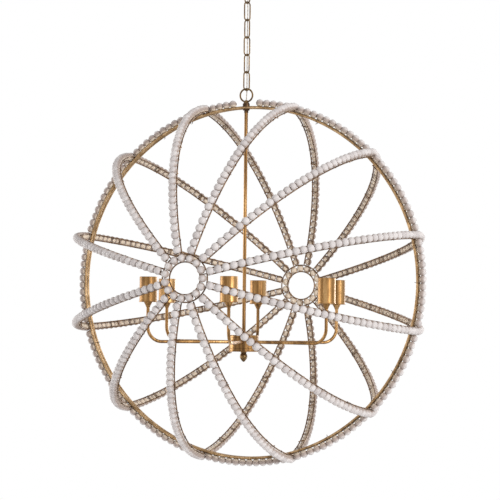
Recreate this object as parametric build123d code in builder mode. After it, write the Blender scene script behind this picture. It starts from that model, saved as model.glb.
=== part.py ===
from build123d import *
from math import acos, asin, atan2, ceil, cos, degrees, floor, hypot, radians, sin, sqrt, tan
import os

os.makedirs("parts", exist_ok=True)

# Beaded globe chandelier. Millimetres, Z up, the ceiling face at Z 0 with the stem on the Z axis.
# The line through the globe's poles runs along Y, the front pole toward -Y; the hoop stands in the XZ plane.

# Beads and the wires they sit on
globe_diameter = 818.0
bead_diameter = 17.5
bead_length = 15.6
bead_bore = 3.0
bead_gap = 0.5
bead_clearance = 0.2
bead_seat_gap = 0.2
hoop_bead_gap = 0.22
string_diameter = 1.2
string_tuck_length = 6.7
weld_gap = 0.15
hanger_off_crown = 8.0

# Ribs
rib_count = 12
rib_wire_diameter = 3.0
rib_wire_spacing = 12.5
rib_arc_radius = 443.0
rung_diameter = 2.4
rung_runs = (110.0, 267.0, 354.0)
spoke_bite = 0.4

# Hoop
hoop_rod_diameter = 6.0
hoop_rod_spacing = 12.0

# Pole rings
ring_bead_count = 15
ring_bead_radius = 41.0
ring_wire_diameter = 3.0
ring_wire_spacing = 15.5
ring_spoke_count = 5

# Chain and its two loops
link_length = 45.0
link_width = 19.0
link_wire_diameter = 3.0
link_count = 6
loop_diameter = 32.6
loop_wire_diameter = 3.8
loop_boss_length = 7.0
loop_boss_foot_diameter = 13.0
loop_boss_top_diameter = 6.6
loop_foot_overlap = 1.7
chain_play = 0.2
chain_turn_deg = 60.0

# Supply cord
cord_diameter = 2.5
cord_bore = 3.4
cord_offset_in_plane = 4.2
cord_offset_off_plane = 3.4
cord_bend = 30.0
cord_free_run = 5.0
cord_top_drop = 5.0

# Ceiling end
canopy_diameter = 125.0
canopy_depth = 28.0
canopy_rim = 5.0
canopy_flat_diameter = 34.0
canopy_wall = 1.2
canopy_boss_diameter = 16.0
canopy_boss_length = 12.0
crossbar_length = 108.0
crossbar_width = 20.0
crossbar_thickness = 2.5
screw_spacing = 88.9
screw_hole_diameter = 4.6
nipple_diameter = 9.6
nipple_bore = 6.0
nipple_grip = 8.0
nipple_top_drop = 0.5
thread_play = 0.05

# Top of the globe
collar_diameter = 16.0
collar_above_hoop = 9.6
collar_below_hoop = 6.0
rod_hole_play = 0.2
stem_diameter = 8.0
stem_bore = 5.0
stem_grip = 2.0
stem_nut_diameter = 10.0
stem_nut_length = 5.4

# Hub
hub_top_drop = 116.8
hub_diameter = 66.0
hub_height = 33.7
hub_wall = 1.5
hub_cover_diameter = 69.0
hub_cover_thickness = 2.5
finial_diameter = 17.0
finial_neck_diameter = 13.0
finial_tip_diameter = 1.6
finial_length = 22.8
finial_belly_drop = 10.3
finial_grip = 8.0
lead_hole_diameter = 3.0

# Arms, cups and lampholders
arm_count = 6
arm_turn_deg = 11.0
arm_diameter = 7.2
arm_bore = 5.2
arm_reach = 224.0
arm_drop = 132.0
arm_bend = 32.0
arm_inside_hub = 6.0
coupling_foot_diameter = 9.2
coupling_top_diameter = 18.0
coupling_height = 11.0
cup_diameter = 38.0
cup_height = 55.0
cup_wall = 1.2
cup_floor = 1.5
cup_lip_diameter = 40.0
cup_lip_height = 2.0
cup_foot_drop = 46.6
lampholder_play = 0.5
lampholder_below_rim = 4.4
lamp_bore = 26.6
lamp_depth = 28.0
lampholder_grip = 8.0
lead_diameter = 2.0
lead_play = 0.5

# Radii that follow from the sizes above
bead_radius = bead_diameter / 2
bead_pitch = bead_length + bead_gap
rib_bead_radius = globe_diameter / 2 - bead_radius
rib_touch = bead_radius + rib_wire_diameter / 2 + bead_seat_gap
rib_seat = sqrt(rib_touch**2 - (rib_wire_spacing / 2) ** 2)
rib_wire_radius = rib_bead_radius - rib_seat
ring_outer_radius = ring_bead_radius + ring_wire_spacing / 2
ring_inner_radius = ring_bead_radius - ring_wire_spacing / 2
ring_touch = bead_radius + ring_wire_diameter / 2 + bead_seat_gap
ring_wire_offset = sqrt(rib_wire_radius**2 - ring_outer_radius**2)
ring_bead_offset = ring_wire_offset + sqrt(ring_touch**2 - (ring_wire_spacing / 2) ** 2)

# Each half rib is one arc from the hoop to its pole ring, flatter than the globe's own circle.
# Its middle is given by two distances from the globe's centre: outward, and toward the half's own pole.
rib_drop = rib_wire_radius - ring_outer_radius
rib_chord = hypot(rib_drop, ring_wire_offset)
rib_arc = 2 * degrees(asin(rib_chord / 2 / rib_arc_radius))
rib_slope = degrees(atan2(rib_drop, ring_wire_offset)) - rib_arc / 2
rib_arc_out = rib_wire_radius - rib_arc_radius * cos(radians(rib_slope))
rib_arc_along = -rib_arc_radius * sin(radians(rib_slope))

# The hoop's rods lie inside the ribs' wires
rod_arc_radius = rib_arc_radius - rib_wire_diameter / 2 - hoop_rod_diameter / 2 - weld_gap
rod_arc_run = hoop_rod_spacing / 2 - rib_arc_along
hoop_radius = rib_arc_out + sqrt(rod_arc_radius**2 - rod_arc_run**2)
hoop_touch = bead_radius + hoop_rod_diameter / 2 + bead_seat_gap
hoop_bead_radius = hoop_radius + sqrt(hoop_touch**2 - (hoop_rod_spacing / 2) ** 2)

# Heights, counted down from the ceiling
loop_mid_radius = (loop_diameter - loop_wire_diameter) / 2
loop_rise = loop_mid_radius + loop_wire_diameter / 2 + loop_foot_overlap
link_mid_length = link_length - link_wire_diameter
link_pitch = link_mid_length - link_wire_diameter - chain_play
loop_to_link = (loop_wire_diameter + link_wire_diameter) / 2 + chain_play
canopy_boss_end = -canopy_depth - canopy_boss_length
canopy_loop_z = canopy_boss_end - loop_rise
first_link_top = canopy_loop_z - loop_mid_radius + loop_to_link
last_link_bottom = first_link_top - link_mid_length - (link_count - 1) * link_pitch
hanger_loop_z = last_link_bottom + loop_to_link - loop_mid_radius
collar_top = hanger_loop_z - loop_rise
hoop_top = collar_top - collar_above_hoop
globe_z = hoop_top - sqrt(hoop_radius**2 - hanger_off_crown**2)
collar_bottom = hoop_top - collar_below_hoop
stem_top = collar_bottom + stem_grip
hub_top = globe_z - hub_top_drop
hub_bottom = hub_top - hub_height
cover_bottom = hub_bottom - hub_cover_thickness
stem_bottom = cover_bottom - finial_grip
cup_foot = globe_z - cup_foot_drop
cup_rim = cup_foot + cup_height
arm_z = globe_z - arm_drop
arm_top = cup_foot + cup_floor + lampholder_grip
lampholder_top = cup_rim - lampholder_below_rim
globe_centre = Vector(hanger_off_crown, 0, globe_z)
hoop_plane = Plane(origin=globe_centre, x_dir=(1, 0, 0), z_dir=(0, -1, 0))


# Planes and places


def half_rib_plane(turn, end):
    """Plane of a half rib about its arc's middle: its X points outward, its Y to the half's own pole."""
    a = radians(turn)
    outward = Vector(cos(a), 0, sin(a))
    poleward = Vector(0, end, 0)
    middle = globe_centre + outward * rib_arc_out + poleward * rib_arc_along
    return Plane(origin=middle, x_dir=outward, z_dir=outward.cross(poleward))


def upright_plane(turn, height):
    """Plane that stands on edge: its X is level at the given turn, its Y points up."""
    a = radians(turn)
    return Plane(origin=(0, 0, height), x_dir=(cos(a), sin(a), 0), z_dir=(sin(a), -cos(a), 0))


def ring_plane(end):
    """Plane of a pole ring's wires, facing outward; end is -1 at the front and 1 at the rear."""
    middle = globe_centre + Vector(0, end * ring_wire_offset, 0)
    return Plane(origin=middle, x_dir=(1, 0, 0), z_dir=(0, end, 0))


def turned(plane, angle):
    """The same plane with its X turned about its own normal."""
    a = radians(angle)
    x_dir = plane.x_dir * cos(a) + plane.y_dir * sin(a)
    return Plane(origin=plane.origin, x_dir=x_dir, z_dir=plane.z_dir)


def on_arc(plane, radius, angle):
    """Plane at a point of an arc about the plane's origin, its Z along the arc."""
    spoke = turned(plane, angle)
    return Plane(origin=plane.origin + spoke.x_dir * radius, x_dir=spoke.x_dir, z_dir=spoke.y_dir)


def bent_rods(plane, radius, offsets, rod_diameter, start, arc):
    """Rods bent to an arc about the plane's origin, one at each offset from the plane."""
    with BuildPart() as rods:
        with BuildSketch(on_arc(plane, 0, start)):
            with Locations(*[(radius, offset) for offset in offsets]):
                Circle(rod_diameter / 2)
        revolve(axis=Axis(plane.origin, plane.z_dir), revolution_arc=arc)
    return rods.part


def strung(bead_part, spots):
    """Separate copies of the bead at the given places."""
    return Part(children=[bead_part.moved(Location(spot)) for spot in spots])


# Mounting crossbar, its two screw holes left free for the ceiling box's screws
with BuildPart() as mounting_crossbar:
    with BuildSketch():
        SlotOverall(crossbar_length, crossbar_width)
        with Locations((-screw_spacing / 2, 0), (screw_spacing / 2, 0)):
            Circle(screw_hole_diameter / 2, mode=Mode.SUBTRACT)
        Circle(nipple_diameter / 2 + thread_play, mode=Mode.SUBTRACT)
    extrude(amount=-crossbar_thickness)
mounting_crossbar.part.label = "mounting_crossbar"
export_step(mounting_crossbar.part, "parts/mounting_crossbar.step")

# Threaded nipple through crossbar, canopy and loop
nipple_bottom = -canopy_depth - nipple_grip
with BuildPart() as canopy_nipple:
    with BuildSketch(Plane.XY.offset(nipple_bottom)):
        Circle(nipple_diameter / 2)
        Circle(nipple_bore / 2, mode=Mode.SUBTRACT)
    extrude(amount=-nipple_bottom - nipple_top_drop)
canopy_nipple.part.label = "canopy_nipple"
export_step(canopy_nipple.part, "parts/canopy_nipple.step")

# Canopy, a spun dome open to the ceiling
canopy_radius = canopy_diameter / 2
canopy_flat_radius = canopy_flat_diameter / 2
with BuildPart() as canopy:
    with BuildSketch(Plane.XZ):
        with BuildLine():
            outer_rim = Line((canopy_radius, 0), (canopy_radius, -canopy_rim))
            outer_dome = Spline(
                outer_rim @ 1, (canopy_flat_radius, -canopy_depth), tangents=((0, -1), (-1, 0))
            )
            flat = Line(outer_dome @ 1, (nipple_diameter / 2 + thread_play, -canopy_depth))
            hole = Line(flat @ 1, flat @ 1 + Vector(0, canopy_wall))
            inner_flat = Line(hole @ 1, (canopy_flat_radius, -canopy_depth + canopy_wall))
            inner_dome = Spline(
                (canopy_radius - canopy_wall, -canopy_rim), inner_flat @ 1, tangents=((0, -1), (-1, 0))
            )
            inner_rim = Line(inner_dome @ 0, (canopy_radius - canopy_wall, 0))
            Line(inner_rim @ 1, outer_rim @ 0)
        make_face()
    revolve(axis=Axis.Z)
canopy.part.label = "canopy"
export_step(canopy.part, "parts/canopy.step")

# Canopy loop: threaded boss, cone and ring in one casting
with BuildPart() as canopy_loop:
    with Locations((0, 0, -canopy_depth)):
        Cylinder(
            canopy_boss_diameter / 2, canopy_boss_length, align=(Align.CENTER, Align.CENTER, Align.MAX)
        )
    with Locations((0, 0, canopy_boss_end)):
        Cone(
            loop_boss_top_diameter / 2,
            loop_boss_foot_diameter / 2,
            loop_boss_length,
            align=(Align.CENTER, Align.CENTER, Align.MAX),
        )
    with Locations(upright_plane(chain_turn_deg, canopy_loop_z)):
        Torus(loop_mid_radius, loop_wire_diameter / 2)
    with Locations((0, 0, -canopy_depth)):
        Cylinder(
            nipple_diameter / 2 + thread_play,
            nipple_grip + thread_play,
            align=(Align.CENTER, Align.CENTER, Align.MAX),
            mode=Mode.SUBTRACT,
        )
        Cylinder(
            cord_bore / 2,
            canopy_boss_length + loop_rise,
            align=(Align.CENTER, Align.CENTER, Align.MAX),
            mode=Mode.SUBTRACT,
        )
canopy_loop.part.label = "canopy_loop"
export_step(canopy_loop.part, "parts/canopy_loop.step")

# Chain links, each turned a quarter from the one above
link_mid_radius = (link_width - link_wire_diameter) / 2
link_straight = (link_length - link_width) / 2
for number in range(1, link_count + 1):
    link_mid_z = first_link_top - link_mid_length / 2 - (number - 1) * link_pitch
    link_turn = chain_turn_deg - 90 * (number % 2)
    with BuildPart() as chain_link:
        with BuildLine(upright_plane(link_turn, link_mid_z)) as link_path:
            Line((link_mid_radius, -link_straight), (link_mid_radius, link_straight))
            CenterArc((0, link_straight), link_mid_radius, 0, 180)
            Line((-link_mid_radius, link_straight), (-link_mid_radius, -link_straight))
            CenterArc((0, -link_straight), link_mid_radius, 180, 180)
        with BuildSketch(link_path.wire() ^ 0):
            Circle(link_wire_diameter / 2)
        sweep(path=link_path.wire())
    chain_link.part.label = f"chain_link_{number}"
    export_step(chain_link.part, f"parts/chain_link_{number}.step")

# Hanger loop: ring on a cone, drilled for the cord
with BuildPart() as hanger_loop:
    with Locations((0, 0, collar_top)):
        Cone(
            loop_boss_foot_diameter / 2,
            loop_boss_top_diameter / 2,
            loop_boss_length,
            align=(Align.CENTER, Align.CENTER, Align.MIN),
        )
    with Locations(upright_plane(0, hanger_loop_z)):
        Torus(loop_mid_radius, loop_wire_diameter / 2)
    with Locations((0, 0, collar_top)):
        Cylinder(
            cord_bore / 2,
            loop_rise,
            align=(Align.CENTER, Align.CENTER, Align.MIN),
            mode=Mode.SUBTRACT,
        )
hanger_loop.part.label = "hanger_loop"
export_step(hanger_loop.part, "parts/hanger_loop.step")

# Top collar, both hoop rods run through it a little to one side of the hoop's crown
rod_way = Vector(hoop_top - globe_z, 0, hanger_off_crown)
with BuildPart() as top_collar:
    with BuildSketch(Plane.XY.offset(collar_bottom)):
        Circle(collar_diameter / 2)
    extrude(amount=collar_top - collar_bottom)
    with BuildSketch(Plane(origin=(0, 0, hoop_top), x_dir=(0, 1, 0), z_dir=rod_way)):
        with Locations((hoop_rod_spacing / 2, 0), (-hoop_rod_spacing / 2, 0)):
            Circle(hoop_rod_diameter / 2 + rod_hole_play)
    extrude(amount=collar_diameter, both=True, mode=Mode.SUBTRACT)
    with BuildSketch(Plane.XY.offset(collar_bottom)):
        Circle(cord_bore / 2)
    extrude(amount=collar_top - collar_bottom, mode=Mode.SUBTRACT)
    with BuildSketch(Plane.XY.offset(collar_bottom)):
        Circle(stem_diameter / 2 + thread_play)
    extrude(amount=stem_grip + thread_play, mode=Mode.SUBTRACT)
top_collar.part.label = "top_collar"
export_step(top_collar.part, "parts/top_collar.step")

# Stem nut, six-sided, tight under the collar
with BuildPart() as stem_nut:
    with BuildSketch(Plane.XY.offset(collar_bottom)):
        RegularPolygon(stem_nut_diameter / 2, 6)
        Circle(stem_diameter / 2 + thread_play, mode=Mode.SUBTRACT)
    extrude(amount=-stem_nut_length)
stem_nut.part.label = "stem_nut"
export_step(stem_nut.part, "parts/stem_nut.step")

# Stem tube from the collar down through the hub, with a side hole for the lamp leads
lead_hole_z = (hub_top - hub_wall + arm_z) / 2
with BuildPart() as stem_tube:
    with BuildSketch(Plane.XY.offset(stem_bottom)):
        Circle(stem_diameter / 2)
        Circle(stem_bore / 2, mode=Mode.SUBTRACT)
    extrude(amount=stem_top - stem_bottom)
    with BuildSketch(Plane.YZ):
        with Locations((0, lead_hole_z)):
            Circle(lead_hole_diameter / 2)
    extrude(amount=stem_diameter, both=True, mode=Mode.SUBTRACT)
stem_tube.part.label = "stem_tube"
export_step(stem_tube.part, "parts/stem_tube.step")

# Hub body, a drum open below
arm_turns = [arm_turn_deg - 90 + k * 360 / arm_count for k in range(arm_count)]
with BuildPart() as hub_body:
    with BuildSketch(Plane.XY.offset(hub_bottom)):
        Circle(hub_diameter / 2)
    extrude(amount=hub_height)
    with BuildSketch(Plane.XY.offset(hub_bottom)):
        Circle(hub_diameter / 2 - hub_wall)
    extrude(amount=hub_height - hub_wall, mode=Mode.SUBTRACT)
    with BuildSketch(Plane.XY.offset(hub_top)):
        Circle(stem_diameter / 2 + thread_play)
    extrude(amount=-hub_wall, mode=Mode.SUBTRACT)
    for turn in arm_turns:
        arm_axis = upright_plane(turn, arm_z)
        with BuildSketch(Plane(origin=arm_axis.origin, x_dir=arm_axis.z_dir, z_dir=arm_axis.x_dir)):
            Circle(arm_diameter / 2 + thread_play)
        extrude(amount=hub_diameter, mode=Mode.SUBTRACT)
hub_body.part.label = "hub_body"
export_step(hub_body.part, "parts/hub_body.step")

# Hub cover
with BuildPart() as hub_cover:
    with BuildSketch(Plane.XY.offset(cover_bottom)):
        Circle(hub_cover_diameter / 2)
        Circle(stem_diameter / 2 + thread_play, mode=Mode.SUBTRACT)
    extrude(amount=hub_cover_thickness)
hub_cover.part.label = "hub_cover"
export_step(hub_cover.part, "parts/hub_cover.step")

# Finial, a drop-shaped nut on the stem's end
finial_belly_z = cover_bottom - finial_belly_drop
finial_tip_z = cover_bottom - finial_length
with BuildPart() as finial:
    with BuildSketch(Plane.XZ):
        with BuildLine():
            top = Line((0, cover_bottom), (finial_neck_diameter / 2, cover_bottom))
            Spline(
                top @ 1,
                (finial_diameter / 2, finial_belly_z),
                (finial_tip_diameter / 2, finial_tip_z),
                tangents=((0.6, -1), (-1, -0.9)),
            )
            Line((finial_tip_diameter / 2, finial_tip_z), (0, finial_tip_z))
            Line((0, finial_tip_z), (0, cover_bottom))
        make_face()
    revolve(axis=Axis.Z)
    with BuildSketch(Plane.XY.offset(cover_bottom)):
        Circle(stem_diameter / 2 + thread_play)
    extrude(amount=-finial_grip - thread_play, mode=Mode.SUBTRACT)
finial.part.label = "finial"
export_step(finial.part, "parts/finial.step")

# Arms: tubes out of the hub, a quarter bend, then up through the cup into the lampholder
arm_start = hub_diameter / 2 - hub_wall - arm_inside_hub
for number, turn in enumerate(arm_turns, 1):
    with BuildPart() as arm:
        with BuildLine(upright_plane(turn, arm_z)) as arm_path:
            FilletPolyline(
                (arm_start, 0), (arm_reach, 0), (arm_reach, arm_top - arm_z), radius=arm_bend
            )
        with BuildSketch(arm_path.wire() ^ 0):
            Circle(arm_diameter / 2)
            Circle(arm_bore / 2, mode=Mode.SUBTRACT)
        sweep(path=arm_path.wire())
    arm.part.label = f"arm_{number}"
    export_step(arm.part, f"parts/arm_{number}.step")

# Cup couplings, cups, lampholders and lamp leads: one made, then copied to every arm
cup_places = [Location(upright_plane(turn, 0).x_dir * arm_reach) for turn in arm_turns]
fit_radius = arm_diameter / 2 + thread_play
with BuildPart() as one_coupling:
    with Locations((0, 0, cup_foot)):
        Cone(
            coupling_foot_diameter / 2,
            coupling_top_diameter / 2,
            coupling_height,
            align=(Align.CENTER, Align.CENTER, Align.MAX),
        )
        Cylinder(
            fit_radius,
            coupling_height,
            align=(Align.CENTER, Align.CENTER, Align.MAX),
            mode=Mode.SUBTRACT,
        )
with BuildPart() as cup_couplings:
    with Locations(*cup_places):
        add(one_coupling.part)
cup_couplings.part.label = "cup_couplings"
export_step(cup_couplings.part, "parts/cup_couplings.step")

with BuildPart() as one_cup:
    with BuildSketch(Plane.XY.offset(cup_foot)):
        Circle(cup_diameter / 2)
    extrude(amount=cup_height)
    with BuildSketch(Plane.XY.offset(cup_foot)):
        Circle(cup_lip_diameter / 2)
    extrude(amount=cup_lip_height)
    with BuildSketch(Plane.XY.offset(cup_foot + cup_floor)):
        Circle(cup_diameter / 2 - cup_wall)
    extrude(amount=cup_height, mode=Mode.SUBTRACT)
    with BuildSketch(Plane.XY.offset(cup_foot)):
        Circle(fit_radius)
    extrude(amount=cup_floor, mode=Mode.SUBTRACT)
with BuildPart() as cups:
    with Locations(*cup_places):
        add(one_cup.part)
cups.part.label = "cups"
export_step(cups.part, "parts/cups.step")

lead_passage = lead_diameter / 2 + lead_play
with BuildPart() as one_lampholder:
    with BuildSketch(Plane.XY.offset(cup_foot + cup_floor)):
        Circle(cup_diameter / 2 - cup_wall - lampholder_play)
    extrude(amount=lampholder_top - cup_foot - cup_floor)
    with BuildSketch(Plane.XY.offset(lampholder_top)):
        Circle(lamp_bore / 2)
    extrude(amount=-lamp_depth, mode=Mode.SUBTRACT)
    with BuildSketch(Plane.XY.offset(cup_foot + cup_floor)):
        Circle(fit_radius)
    extrude(amount=lampholder_grip + thread_play, mode=Mode.SUBTRACT)
    with BuildSketch(Plane.XY.offset(cup_foot + cup_floor)):
        Circle(lead_passage)
    extrude(amount=lampholder_top - cup_foot - cup_floor, mode=Mode.SUBTRACT)
with BuildPart() as lampholders:
    with Locations(*cup_places):
        add(one_lampholder.part)
lampholders.part.label = "lampholders"
export_step(lampholders.part, "parts/lampholders.step")

lead_top = lampholder_top - lamp_depth
with BuildPart() as arm_leads:
    for turn in arm_turns:
        with BuildLine(upright_plane(turn, arm_z)) as lead_path:
            FilletPolyline(
                (arm_start, 0), (arm_reach, 0), (arm_reach, lead_top - arm_z), radius=arm_bend
            )
        with BuildSketch(lead_path.wire() ^ 0):
            Circle(lead_diameter / 2)
        sweep(path=lead_path.wire())
arm_leads.part.label = "arm_leads"
export_step(arm_leads.part, "parts/arm_leads.step")

# One bead: a ball with a flat at each end of its bore
with BuildPart() as bead:
    Sphere(bead_radius)
    Cylinder(bead_radius, bead_length, mode=Mode.INTERSECT)
    Cylinder(bead_bore / 2, bead_diameter, mode=Mode.SUBTRACT)

# Ribs: two wires to each half, the rungs welded across their inner side, the strand of beads on the outside
rib_turns = [(k + 0.5) * 360 / rib_count for k in range(rib_count)]
rib_wire_first = rib_slope + degrees(
    (rib_wire_diameter / 2 * tan(radians(rib_slope)) + weld_gap / 2) / rib_arc_radius
)
rib_wire_last = rib_slope + rib_arc - degrees((ring_wire_diameter / 2 + weld_gap) / rib_arc_radius)
rung_radius = rib_arc_radius - rib_wire_diameter / 2 - rung_diameter / 2 - weld_gap
rung_reach = rib_wire_spacing + rib_wire_diameter
rung_turns = [rib_slope + degrees(run / rib_arc_radius) for run in rung_runs]

# One bead sits on the hoop, the last one of each half lies beside the pole ring's beads
bead_arc_radius = rib_arc_radius + rib_seat
bead_first = degrees(asin(-rib_arc_along / bead_arc_radius))
ring_bead_out = ring_bead_radius - rib_arc_out
ring_bead_along = ring_bead_offset - rib_arc_along
ring_bead_reach = hypot(ring_bead_out, ring_bead_along)
bead_apart = bead_diameter + bead_clearance
ring_bead_apart = acos(
    (bead_arc_radius**2 + ring_bead_reach**2 - bead_apart**2) / (2 * bead_arc_radius * ring_bead_reach)
)
bead_last = degrees(atan2(ring_bead_along, ring_bead_out) - ring_bead_apart)
rib_bead_step = 2 * degrees(asin(bead_pitch / 2 / bead_arc_radius))
rib_half_beads = floor((bead_last - bead_first) / rib_bead_step)
rib_bead_angle = (bead_last - bead_first) / rib_half_beads
string_first = bead_first + degrees(string_diameter / bead_arc_radius)
string_arc = bead_last + degrees(string_tuck_length / bead_arc_radius) - string_first
rungs = []
strings = []
for number, turn in enumerate(rib_turns, 1):
    halves = [half_rib_plane(turn, end) for end in (-1, 1)]
    with BuildPart() as rib:
        for plane in halves:
            add(
                bent_rods(
                    plane,
                    rib_arc_radius,
                    (-rib_wire_spacing / 2, rib_wire_spacing / 2),
                    rib_wire_diameter,
                    rib_wire_first,
                    rib_wire_last - rib_wire_first,
                )
            )
    rib.part.label = f"rib_{number:02d}"
    export_step(rib.part, f"parts/rib_{number:02d}.step")

    crown = on_arc(halves[1], bead_arc_radius, bead_first)
    bead_spots = [Plane(origin=crown.origin, x_dir=halves[1].x_dir, z_dir=halves[1].y_dir)]
    for plane in halves:
        for rung_turn in rung_turns:
            spot = on_arc(plane, rung_radius, rung_turn)
            with BuildPart() as rung:
                with BuildSketch(Plane(origin=spot.origin, x_dir=spot.x_dir, z_dir=plane.z_dir)):
                    Circle(rung_diameter / 2)
                extrude(amount=rung_reach / 2, both=True)
            rungs.append(rung.part)
        for k in range(1, rib_half_beads + 1):
            bead_spots.append(on_arc(plane, bead_arc_radius, bead_first + k * rib_bead_angle))
        strings.append(bent_rods(plane, bead_arc_radius, (0,), string_diameter, string_first, string_arc))
    rib_beads = strung(bead.part, bead_spots)
    rib_beads.label = f"rib_beads_{number:02d}"
    export_step(rib_beads, f"parts/rib_beads_{number:02d}.step")

rib_rungs = Part(children=rungs)
rib_rungs.label = "rib_rungs"
export_step(rib_rungs, "parts/rib_rungs.step")

# Hoop of two rods
with BuildPart() as hoop_rods:
    with Locations(hoop_plane.offset(hoop_rod_spacing / 2), hoop_plane.offset(-hoop_rod_spacing / 2)):
        Torus(hoop_radius, hoop_rod_diameter / 2)
hoop_rods.part.label = "hoop_rods"
export_step(hoop_rods.part, "parts/hoop_rods.step")

# Beads on the hoop between the ribs, left out around the collar and the foot of the loop.
# One thread runs through each run of beads between two ribs or up to the hanger.
hoop_bead_angle = 2 * degrees(asin((bead_length + hoop_bead_gap) / 2 / hoop_bead_radius))
hoop_rib_room = degrees((bead_radius + bead_length / 2 + bead_clearance) / hoop_bead_radius)
hoop_run_beads = 1 + floor((360 / rib_count - 2 * hoop_rib_room) / hoop_bead_angle)
hoop_run_start = (360 / rib_count - (hoop_run_beads - 1) * hoop_bead_angle) / 2
bare_half = collar_diameter / 2 + bead_radius + bead_clearance
hoop_spots = []
string_tuck = degrees(string_tuck_length / hoop_bead_radius)
for turn in rib_turns:
    runs = [[]]
    for k in range(hoop_run_beads):
        angle = turn + hoop_run_start + k * hoop_bead_angle
        spot = on_arc(hoop_plane, hoop_bead_radius, angle)
        if spot.origin.Z > hoop_top and abs(spot.origin.X) < bare_half:
            runs.append([])
        else:
            runs[-1].append(angle)
            hoop_spots.append(spot)
    for run in runs:
        if run:
            first = run[0] - string_tuck
            length = run[-1] - run[0] + 2 * string_tuck
            strings.append(
                bent_rods(hoop_plane, hoop_bead_radius, (0,), string_diameter, first, length)
            )
hoop_beads = strung(bead.part, hoop_spots)
hoop_beads.label = "hoop_beads"
export_step(hoop_beads, "parts/hoop_beads.step")

# Pole rings: two wires joined by short spokes behind the gaps between the beads
ring_bead_turn = 360 / ring_bead_count
spoke_every = ceil(ring_bead_count / ring_spoke_count)
spoke_turns = [(k * spoke_every + 0.5) * ring_bead_turn for k in range(ring_bead_count // spoke_every)]
spoke_sink = ring_wire_diameter / 2 + rung_diameter / 2 - spoke_bite
ring_spots = []
for name, end in (("front_ring", -1), ("rear_ring", 1)):
    plane = ring_plane(end)
    with BuildPart() as ring:
        with Locations(plane):
            Torus(ring_inner_radius, ring_wire_diameter / 2)
            Torus(ring_outer_radius, ring_wire_diameter / 2)
        for turn in spoke_turns:
            spoke = turned(plane.offset(-spoke_sink), turn)
            middle = spoke.origin + spoke.x_dir * ring_bead_radius
            with BuildSketch(Plane(origin=middle, x_dir=spoke.z_dir, z_dir=spoke.x_dir)):
                Circle(rung_diameter / 2)
            extrude(amount=ring_wire_spacing / 2 + ring_wire_diameter / 4, both=True)
    ring.part.label = name
    export_step(ring.part, f"parts/{name}.step")
    bead_plane = plane.offset(ring_bead_offset - ring_wire_offset)
    for k in range(ring_bead_count):
        ring_spots.append(on_arc(bead_plane, ring_bead_radius, k * ring_bead_turn))
    strings.append(bent_rods(bead_plane, ring_bead_radius, (0,), string_diameter, 0, 360))
ring_beads = strung(bead.part, ring_spots)
ring_beads.label = "ring_beads"
export_step(ring_beads, "parts/ring_beads.step")

bead_strings = Part(children=strings)
bead_strings.label = "bead_strings"
export_step(bead_strings, "parts/bead_strings.step")

# Supply cord: on the axis in the nipple, beside the chain, on the axis again down the stem
cord_way = upright_plane(chain_turn_deg, 0)
cord_side = cord_way.x_dir * cord_offset_in_plane - cord_way.z_dir * cord_offset_off_plane
upper_bend = canopy_boss_end - loop_boss_length - cord_free_run
loop_clear = link_wire_diameter / 2 + cord_diameter
beside_top = first_link_top + loop_clear
beside_bottom = last_link_bottom - loop_clear
lower_bend = collar_top + loop_boss_length + cord_free_run
with BuildPart() as supply_cord:
    with BuildLine() as cord_path:
        FilletPolyline(
            (0, 0, -cord_top_drop),
            (0, 0, upper_bend),
            cord_side + Vector(0, 0, beside_top),
            cord_side + Vector(0, 0, beside_bottom),
            (0, 0, lower_bend),
            (0, 0, lead_hole_z),
            radius=cord_bend,
        )
    with BuildSketch(cord_path.wire() ^ 0):
        Circle(cord_diameter / 2)
    sweep(path=cord_path.wire())
supply_cord.part.label = "supply_cord"
export_step(supply_cord.part, "parts/supply_cord.step")
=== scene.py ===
"""Looks of the beaded globe chandelier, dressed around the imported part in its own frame, in metres."""

import logging
import math
from dataclasses import dataclass, field
from enum import Enum
from typing import ClassVar

import bpy
import numpy as np
from mathutils import Matrix, Vector


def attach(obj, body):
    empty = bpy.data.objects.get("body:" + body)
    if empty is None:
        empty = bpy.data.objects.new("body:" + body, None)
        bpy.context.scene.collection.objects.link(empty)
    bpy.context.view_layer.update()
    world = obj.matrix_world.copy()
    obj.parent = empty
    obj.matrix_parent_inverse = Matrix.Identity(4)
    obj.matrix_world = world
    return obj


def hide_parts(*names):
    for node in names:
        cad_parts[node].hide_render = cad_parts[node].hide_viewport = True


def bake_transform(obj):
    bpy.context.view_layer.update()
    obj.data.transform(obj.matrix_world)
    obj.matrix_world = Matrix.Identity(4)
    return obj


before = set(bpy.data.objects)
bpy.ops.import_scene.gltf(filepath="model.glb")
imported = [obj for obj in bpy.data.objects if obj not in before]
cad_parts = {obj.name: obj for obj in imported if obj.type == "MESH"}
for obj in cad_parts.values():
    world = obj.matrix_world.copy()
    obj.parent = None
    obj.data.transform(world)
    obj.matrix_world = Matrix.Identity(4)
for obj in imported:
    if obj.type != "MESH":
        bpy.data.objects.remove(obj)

log = logging.getLogger("chandelier")
Colour = tuple[float, float, float]
Point = tuple[float, float, float]
Pair = tuple[float, float]
Profile = list[Pair]

# Middle of the globe, the way up, and the way from the front pole to the rear one
GLOBE_LEVEL = -0.7296831
CENTRE = np.array([0.008, 0.0, GLOBE_LEVEL])
UPRIGHT = np.array([0, 0, 1.0])
REARWARD = np.array([0, 1.0, 0])


def paint(red: int, green: int, blue: int) -> Colour:
    """A screen colour of 0 to 255 as the linear light that a shader takes.

    Args:
        red: Red as seen on a screen.
        green: Green as seen on a screen.
        blue: Blue as seen on a screen.

    Returns:
        The three linear values: the low end divided by 12.92, the rest the 2.4 power of (c + 0.055) / 1.055.
    """
    screen = np.array([red, green, blue]) / 255
    return tuple(np.where(screen < 0.04045, screen / 12.92, ((screen + 0.055) / 1.055) ** 2.4).tolist())


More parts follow.
